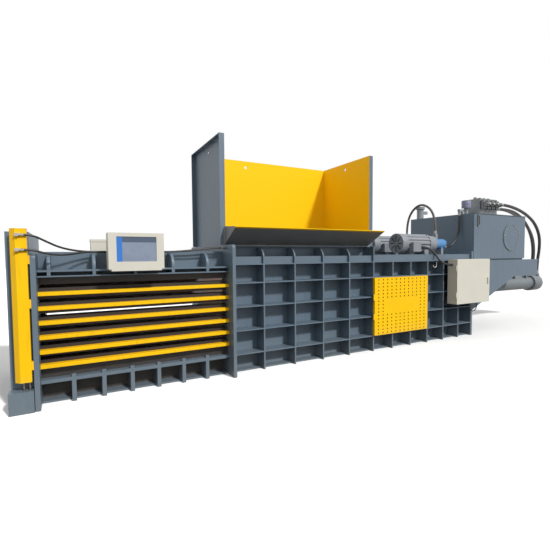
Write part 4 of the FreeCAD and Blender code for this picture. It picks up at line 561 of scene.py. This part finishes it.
# ---------------------------------------------------------------- motors and pumps
# Two finned cast-iron motors in grey enamel, with a wire guard over each fan, a turned bell
# housing and a blue gear pump. A hook on the wall below holds their cables.
BELL_LENGTH = 0.19
PUMP_RADIUS = 0.095
GREYS = ("8d9197", "7c8187")
PUMP_BLUES = ("5f93c4", "4f80b2")
GUARD_RINGS = (0.045, 0.07, 0.095, 0.12, 0.145)
GUARD_WIRE = 0.0014
GUARD_STEPS = 40
GUARD_GAP = 0.0015
SPOKES = 8
SPOKE_OUTLINE = ((0, 0.002), (0.115, 0.002))
HUB_RADIUS = 0.038
COWL_SIDES = 64
# Distance along the motor and radius, round the section of the rolled sleeve.
COWL_OUTLINE = ((0, 0.1738), (-0.001, 0.1795), (0.0005, 0.1818), (0.003, 0.1826), (0.1495, 0.1826),
                (0.151, 0.181), (0.1505, 0.1738))
BELL_OUTLINE = ((TOUCH, 0.1506), (0.182, 0.1506), (0.188, 0.148), (0.1905, 0.143), (0.1905, 0.05))
PUMP_OUTLINE = ((0, 0.0956), (0.312, 0.0956), (0.318, 0.093), (0.3205, 0.088))
HOOK_X, HOOK_Y, HOOK_Z = 4.075, -0.8, 1.43
HOOK_BEND = 0.045
HOOK_ROD = 0.01
motor_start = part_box("motor_near")[0].x
motor_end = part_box("motor_near")[1].x
bell_face = motor_end + BELL_LENGTH
fan_low, fan_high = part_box("motor_fan_near")
motor_z = (fan_low.z + fan_high.z) / 2
motor_enamel = enamel("grey enamel on cast iron", *GREYS, gloss=0.4)
coat(motor_enamel, "motor_near", "motor_far")
pump_enamel = enamel("blue enamel on a gear pump", *PUMP_BLUES, gloss=0.34)
pump_planes = [((1, 0, 0), bell_face - TOUCH), ((0, 0, 1), motor_z - PUMP_RADIUS - TOUCH),
               ((0, 0, -1), -motor_z - PUMP_RADIUS - TOUCH)]
coat(enamel("blue pump behind a grey bell", "8d9296", "7c8186", pump_planes, PUMP_BLUES),
     "pump_near", "pump_far")
# Moulded nylon is black and half matt. Its grain is drawn at 8 mm so that it shows.
fan_black, tree, where = blank("black moulded nylon fan")
grain = add(tree, "ShaderNodeTexNoise", {"Vector": where, "Scale": per_metre(8.333), "Detail": 2.0})
shade = add(tree, "ShaderNodeMix", {
    "Factor": grain.outputs["Fac"], "A": linear("17181a"), "B": linear("26282b")}, data_type="RGBA")
body = add(tree, "ShaderNodeBsdfPrincipled", {
    "Base Color": shade.outputs["Result"], "Roughness": 0.5, "IOR": 1.5})
add(tree, "ShaderNodeOutputMaterial", {"Surface": body.outputs[0]})
coat(fan_black, "motor_fan_near", "motor_fan_far")


def guard(shape, y):
    """Wire rings and spokes in front of the fan's slots."""
    along = Vector((1, 0, 0))
    for radius in GUARD_RINGS:
        rim = []
        for step in range(GUARD_STEPS):
            a = step * math.tau / GUARD_STEPS
            out = Vector((0, math.cos(a), math.sin(a)))
            middle = Vector((motor_start - GUARD_GAP, y, motor_z)) + radius * out
            rim.append([shape.verts.new(middle + GUARD_WIRE * way) for way in (out, along, -out, -along)])
        for here, after in zip(rim, rim[1:] + rim[:1]):
            bridge(shape, here, after)
    for step in range(SPOKES):
        a = (step + 0.5) * math.tau / SPOKES
        out = Vector((0, math.cos(a), math.sin(a)))
        turned(shape, SPOKE_OUTLINE, Vector((motor_start, y, motor_z)) + HUB_RADIUS * out, out, 6)


def cowl_skin(shape, y):
    """A rolled sleeve, open at both ends, round the flat-sided cowl of the part."""
    angles = [step * math.tau / COWL_SIDES for step in range(COWL_SIDES)]
    rings = [[shape.verts.new((motor_start + x, y + radius * math.cos(a), motor_z + radius * math.sin(a)))
              for a in angles] for x, radius in COWL_OUTLINE]
    for near, far in zip(rings, rings[1:] + rings[:1]):
        bridge(shape, near, far)


def cable_hook(shape):
    """Round bar from the wall, bent down and to a J."""
    x = HOOK_X + HOOK_BEND
    spots = [(x, HOOK_Y + 0.04, HOOK_Z + 0.07), (x, HOOK_Y, HOOK_Z + 0.05), (x, HOOK_Y, HOOK_Z)]
    for step in range(1, 9):
        a = step * math.pi / 8
        spots.append((HOOK_X + HOOK_BEND * math.cos(a), HOOK_Y, HOOK_Z - HOOK_BEND * math.sin(a)))
    for spot, onward in zip(spots, spots[1:]):
        run = Vector(onward) - Vector(spot)
        turned(shape, [(0, HOOK_ROD), (run.length + 0.002, HOOK_ROD)], spot, run, 12)


for name, _ in SIDES:
    low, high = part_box("motor_fan_" + name)
    y = (low.y + high.y) / 2
    build("cowl_skin_" + name, lambda shape: cowl_skin(shape, y), motor_enamel)
    build("bell_skin_" + name, lambda shape: turned(
        shape, BELL_OUTLINE, (motor_end, y, motor_z), (1, 0, 0), 64), motor_enamel)
    build("pump_skin_" + name, lambda shape: turned(
        shape, PUMP_OUTLINE, (bell_face, y, motor_z), (1, 0, 0), 48), pump_enamel)
    build("fan_guard_" + name, lambda shape: guard(shape, y), zinc)
    build("motor_bolts_" + name, lambda shape: bolt_ring(
        shape, (motor_end, y, motor_z), (1, 0, 0), radius=0.164, count=8, across_flats=0.018,
        tall=0.012, phase=0.39), zinc)
build("cable_hook", cable_hook, zinc)

# ---------------------------------------------------------------- perforated access cover
# Thin sheet in signal yellow with folded edges and punched rows of holes. The holes are round;
# the part draws them with four sides, so a skin of paint with the round ones lies over its face.
coat(yellow_enamel, "access_cover")
coat(blue_enamel, "hinge_brackets")
SHEET_LENGTH = 1.276
SHEET_Y = -0.8463
SKIN = 0.0006
HOLE_PITCH = (0.1, 0.06)
HOLE_COUNT = (12, 16)
HOLE_RADIUS = 0.0125
HOLE_SIDES = 16
PLAIN_COLUMNS = range(3, 11)
PLAIN_ROWS = range(7, 11)
access_low, access_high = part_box("access_cover")
sheet_size = (SHEET_LENGTH, access_high.z - access_low.z)


def perforated(shape):
    """A sheet of cells, punched except for the edge cells and the plain field in the middle."""
    lines = []
    for size, pitch, count in zip(sheet_size, HOLE_PITCH, HOLE_COUNT):
        margin = (size - pitch * count) / 2
        lines.append([0] + [margin + pitch * step for step in range(count + 1)] + [size])
    left = access_high.x - SHEET_LENGTH
    corners = {(column, row): shape.verts.new((left + x, SHEET_Y, access_low.z + z))
               for column, x in enumerate(lines[0]) for row, z in enumerate(lines[1])}
    for column in range(HOLE_COUNT[0] + 2):
        for row in range(HOLE_COUNT[1] + 2):
            cell = [corners[column + 1, row], corners[column + 1, row + 1], corners[column, row + 1],
                    corners[column, row]]
            plain = column in PLAIN_COLUMNS and row in PLAIN_ROWS
            if plain or not (1 <= column <= HOLE_COUNT[0] and 1 <= row <= HOLE_COUNT[1]):
                shape.faces.new(cell)
                continue
            middle = (cell[0].co + cell[2].co) / 2
            # The rim starts towards the cell's first corner, so that a quarter of it faces each side.
            quarter = HOLE_SIDES // 4
            angles = [(step / HOLE_SIDES - 1 / 8) * math.tau for step in range(HOLE_SIDES)]
            rim = [shape.verts.new(middle + HOLE_RADIUS * Vector((math.cos(a), 0, math.sin(a))))
                   for a in angles]
            for side in range(4):
                arc = [rim[(side * quarter + step) % HOLE_SIDES] for step in range(quarter + 1)]
                shape.faces.new([cell[side], cell[(side + 1) % 4]] + arc[::-1])
    shape.normal_update()
    bmesh.ops.solidify(shape, geom=shape.faces[:], thickness=SKIN)


build("cover_skin", perforated, yellow_enamel, "access_cover_body")

# ---------------------------------------------------------------- electrical cabinet and console
# Sheet steel cases in cream polyester powder, which leaves a fine even orange peel. The console's
# window is tinted acrylic over a lit panel with a blue bar at its left.
BAR_WIDTH = 0.075
HEAD_HEIGHT = 0.0795
powder, tree, where = blank("cream polyester powder coat")
cloud = add(tree, "ShaderNodeTexNoise", {"Vector": where, "Scale": per_metre(333), "Detail": 4.0})
shade = add(tree, "ShaderNodeMix", {
    "Factor": cloud.outputs["Fac"], "A": linear("c9c6b9"), "B": linear("d5d2c6")}, data_type="RGBA")
# The powder's peel is 1 mm across; it is drawn at 12.5 mm so that it shows.
peel = add(tree, "ShaderNodeTexNoise", {"Vector": where, "Scale": per_metre(12.5), "Detail": 1.0})
dents = add(tree, "ShaderNodeBump", {"Height": peel.outputs["Fac"], "Strength": 0.12, "Distance": 0.003})
body = add(tree, "ShaderNodeBsdfPrincipled", {
    "Base Color": shade.outputs["Result"], "Roughness": 0.45, "Normal": dents.outputs[0], "IOR": 1.5})
add(tree, "ShaderNodeOutputMaterial", {"Surface": body.outputs[0]})
coat(powder, "electrical_cabinet", "cabinet_door", "console_box", "junction_box")
soften(0.006, "cabinet_door", "junction_box")
screen_low, screen_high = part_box("console_screen")
# Acrylic is as smooth as glass, so the panel behind it shows under sharp reflections.
screen, tree, where = blank("tinted acrylic over a panel")
parts = add(tree, "ShaderNodeSeparateXYZ", {"Vector": where})
bar = add(tree, "ShaderNodeMath", {0: parts.outputs["X"], 1: screen_low.x + BAR_WIDTH},
          operation="LESS_THAN")
rows = add(tree, "ShaderNodeMath", {0: parts.outputs["Z"], 1: screen_high.z - HEAD_HEIGHT},
           operation="GREATER_THAN")
drift = add(tree, "ShaderNodeTexNoise", {"Vector": where, "Scale": per_metre(111), "Detail": 2.0})
lit = add(tree, "ShaderNodeMix", {
    "Factor": drift.outputs["Fac"], "A": linear("6d7b90"), "B": linear("8d9aac")}, data_type="RGBA")
head = add(tree, "ShaderNodeMix", {
    "Factor": rows.outputs[0], "A": lit.outputs["Result"], "B": linear("4c5b70")}, data_type="RGBA")
picture = add(tree, "ShaderNodeMix", {
    "Factor": bar.outputs[0], "A": head.outputs["Result"], "B": linear("2f76c9")}, data_type="RGBA")
body = add(tree, "ShaderNodeBsdfPrincipled", {
    "Base Color": picture.outputs["Result"], "Roughness": 0.08, "IOR": 1.49})
add(tree, "ShaderNodeOutputMaterial", {"Surface": body.outputs[0]})
coat(screen, "console_screen")

# ---------------------------------------------------------------- discharge door and its lock
# The door's plate and ribs are blue-grey. The lock stands in a yellow column of folded sheet, and
# zinc-plated elbows on its front take the two hoses.
COLUMN_FACE = 0.97
PLATED = ("c9c7bf", "9d9b94")
coat(blue_enamel, "discharge_door", "base_block")
coat(enamel("yellow lock column with plated elbows", YELLOW, YELLOW_DEEP,
            [((0, -1, 0), COLUMN_FACE + TOUCH)], PLATED, shine=0.2), "lock_housing")
soften(0.004, "base_block")

# ---------------------------------------------------------------- hoses and cables
# Wire-braided rubber hose for oil, and rubber-covered conduit and cable for current. Each lies on
# the route of the part's own tube, and the hoses end in pressed ferrules.
STUB = 6.56
PORTS = ((8.9288, -0.085), (8.9288, 0.02), (8.7792, -0.035))
LOOP = 4.487
SUCTION = (5.17, -0.5, 2.48)


def rubber(name, light, dark, rough, lap):
    """Black rubber with the wrap marks of its curing bandage, this many millimetres apart."""
    made, tree, where = blank(name)
    # A diagonal wave texture turns through 10 radians for each unit along an axis.
    wrap = add(tree, "ShaderNodeTexWave", {
        "Vector": where, "Scale": per_metre(lap) * math.tau / 10, "Distortion": 1.5, "Detail": 2.0},
        bands_direction="DIAGONAL")
    dust = add(tree, "ShaderNodeTexNoise", {"Vector": where, "Scale": per_metre(125), "Detail": 5.0})
    tone = add(tree, "ShaderNodeMix", {
        "Factor": dust.outputs["Fac"], "A": linear(dark), "B": linear(light)}, data_type="RGBA")
    bump = add(tree, "ShaderNodeBump", {
        "Height": wrap.outputs["Fac"], "Strength": 0.25, "Distance": 0.003})
    body = add(tree, "ShaderNodeBsdfPrincipled", {
        "Base Color": tone.outputs["Result"], "Roughness": rough, "Normal": bump.outputs[0], "IOR": 1.5})
    add(tree, "ShaderNodeOutputMaterial", {"Surface": body.outputs[0]})
    return made


hose_rubber = rubber("wrapped black hose rubber", "2b2b2c", "151516", 0.42, 78.54)
return_rubber = rubber("dusty grey hose rubber", "67625f", "454240", 0.5, 58.905)
cable_rubber = rubber("black cable rubber", "242426", "121213", 0.5, 39.27)
# Diameter, length, stiffness, finish and the points of the route.
ROUTES = {
    "main_hose_outer": (0.07, 3.5, "stiff", hose_rubber, [
        (STUB, -0.3, 2.769), (7.06, -0.3, 2.769), (7.6, -0.27, 2.712), (8.1, -0.235, 2.595),
        (8.56, -0.195, 2.4), (8.88, -0.15, 2.09), (8.98, -0.105, 1.74), (*PORTS[0], 1.42),
        (*PORTS[0], 1.1)]),
    "main_hose_middle": (0.07, 3.357, "stiff", hose_rubber, [
        (STUB, -0.19, 2.692), (7.06, -0.19, 2.692), (7.56, -0.16, 2.64), (8.04, -0.12, 2.51),
        (8.48, -0.075, 2.31), (8.8, -0.03, 2.02), (8.93, 0.005, 1.72), (*PORTS[1], 1.4),
        (*PORTS[1], 1.1)]),
    "main_hose_inner": (0.07, 3.123, "stiff", hose_rubber, [
        (STUB, -0.41, 2.637), (7.04, -0.41, 2.637), (7.5, -0.365, 2.56), (7.92, -0.285, 2.42),
        (8.31, -0.205, 2.2), (8.61, -0.125, 1.92), (8.76, -0.065, 1.62), (*PORTS[2], 1.36),
        (*PORTS[2], 1.1)]),
    "pump_loop_hose": (0.045, 1.584, "stiff", return_rubber, [
        (LOOP, 0.25, 2.031), (LOOP, 0.25, 2.29), (LOOP + 0.008, 0.13, 2.55), (LOOP, -0.11, 2.67),
        (LOOP + 0.008, -0.35, 2.55), (LOOP, -0.47, 2.29), (LOOP, -0.47, 2.031)]),
    "suction_hose": (0.045, 0.969, "stiff", hose_rubber, [
        SUCTION, (5.17, -0.5, 2.27), (5.159, -0.495, 2.049), (5.064, -0.483, 1.879),
        (4.905, -0.47, 1.775), (4.742, -0.47, 1.775)]),
    "cabinet_cable": (0.038, 0.835, "medium", cable_rubber, [
        (4.408, -0.925, 1.43), (4.233, -0.925, 1.43), (4.11, -0.857, 1.528), (4.105, -0.759, 1.669),
        (3.982, -0.69, 1.768), (3.807, -0.69, 1.768)]),
    "cabinet_loop_cable": (0.018, 0.491, "medium", cable_rubber, [
        (4.915, -0.93, 0.69), (4.915, -0.93, 0.575), (5.035, -0.93, 0.49), (5.155, -0.93, 0.575),
        (5.155, -0.93, 0.69)]),
    "lock_hose_upper": (0.022, 2.406, "medium", hose_rubber, [
        (-2.34, -0.99, 1.86), (-2.24, -0.99, 1.86), (-2.12, -0.93, 1.795), (-2.0, -0.83, 1.735),
        (-1.85, -0.72, 1.7), (-1.68, -0.65, 1.688), (-1.43, -0.628, 1.685), (-1.18, -0.637, 1.688),
        (-0.93, -0.628, 1.685), (-0.68, -0.64, 1.691), (-0.43, -0.655, 1.712), (-0.24, -0.67, 1.74),
        (-0.0625, -0.67, 1.74)]),
    "lock_hose_lower": (0.022, 2.361, "medium", hose_rubber, [
        (-2.34, -0.99, 1.707), (-2.24, -0.99, 1.707), (-2.13, -0.95, 1.668), (-2.01, -0.88, 1.65),
        (-1.88, -0.8, 1.66), (-1.75, -0.72, 1.686), (-1.56, -0.682, 1.69), (-1.31, -0.674, 1.687),
        (-1.06, -0.684, 1.69), (-0.81, -0.676, 1.687), (-0.56, -0.69, 1.694), (-0.34, -0.706, 1.716),
        (-0.19, -0.715, 1.738), (-0.0625, -0.715, 1.738)]),
}


def crimps(shape, route, diameter):
    """A pressed ferrule with its collar at each end of a hose."""
    thick = diameter / 2
    outline = [(0, thick * 1.02), (0.004, thick * 1.24), (diameter * 0.55, thick * 1.24),
               (diameter * 0.6, thick * 1.14), (diameter * 1.3, thick * 1.16),
               (diameter * 1.36, thick * 1.01)]
    for spot, onward in ((route[0], route[1]), (route[-1], route[-2])):
        turned(shape, outline, spot, Vector(onward) - Vector(spot), 24)


for name, (diameter, length, stiffness, material, route) in ROUTES.items():
    line = bpy.data.curves.new(name + "_line", "CURVE")
    line.dimensions = "3D"
    strand = line.splines.new("NURBS")
    strand.points.add(len(route) - 1)
    for point, spot in zip(strand.points, route):
        point.co = (*spot, 1)
    strand.order_u = 3
    strand.use_endpoint_u = True
    strand.resolution_u = 8
    line.bevel_depth = diameter / 2
    line.bevel_resolution = 4
    line.use_fill_caps = True
    hose = piece(name + "_run", line, material)
    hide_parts(name)
    if material is cable_rubber:
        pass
    else:
        crimp = build(name + "_crimps", lambda shape: crimps(shape, route, diameter), zinc)
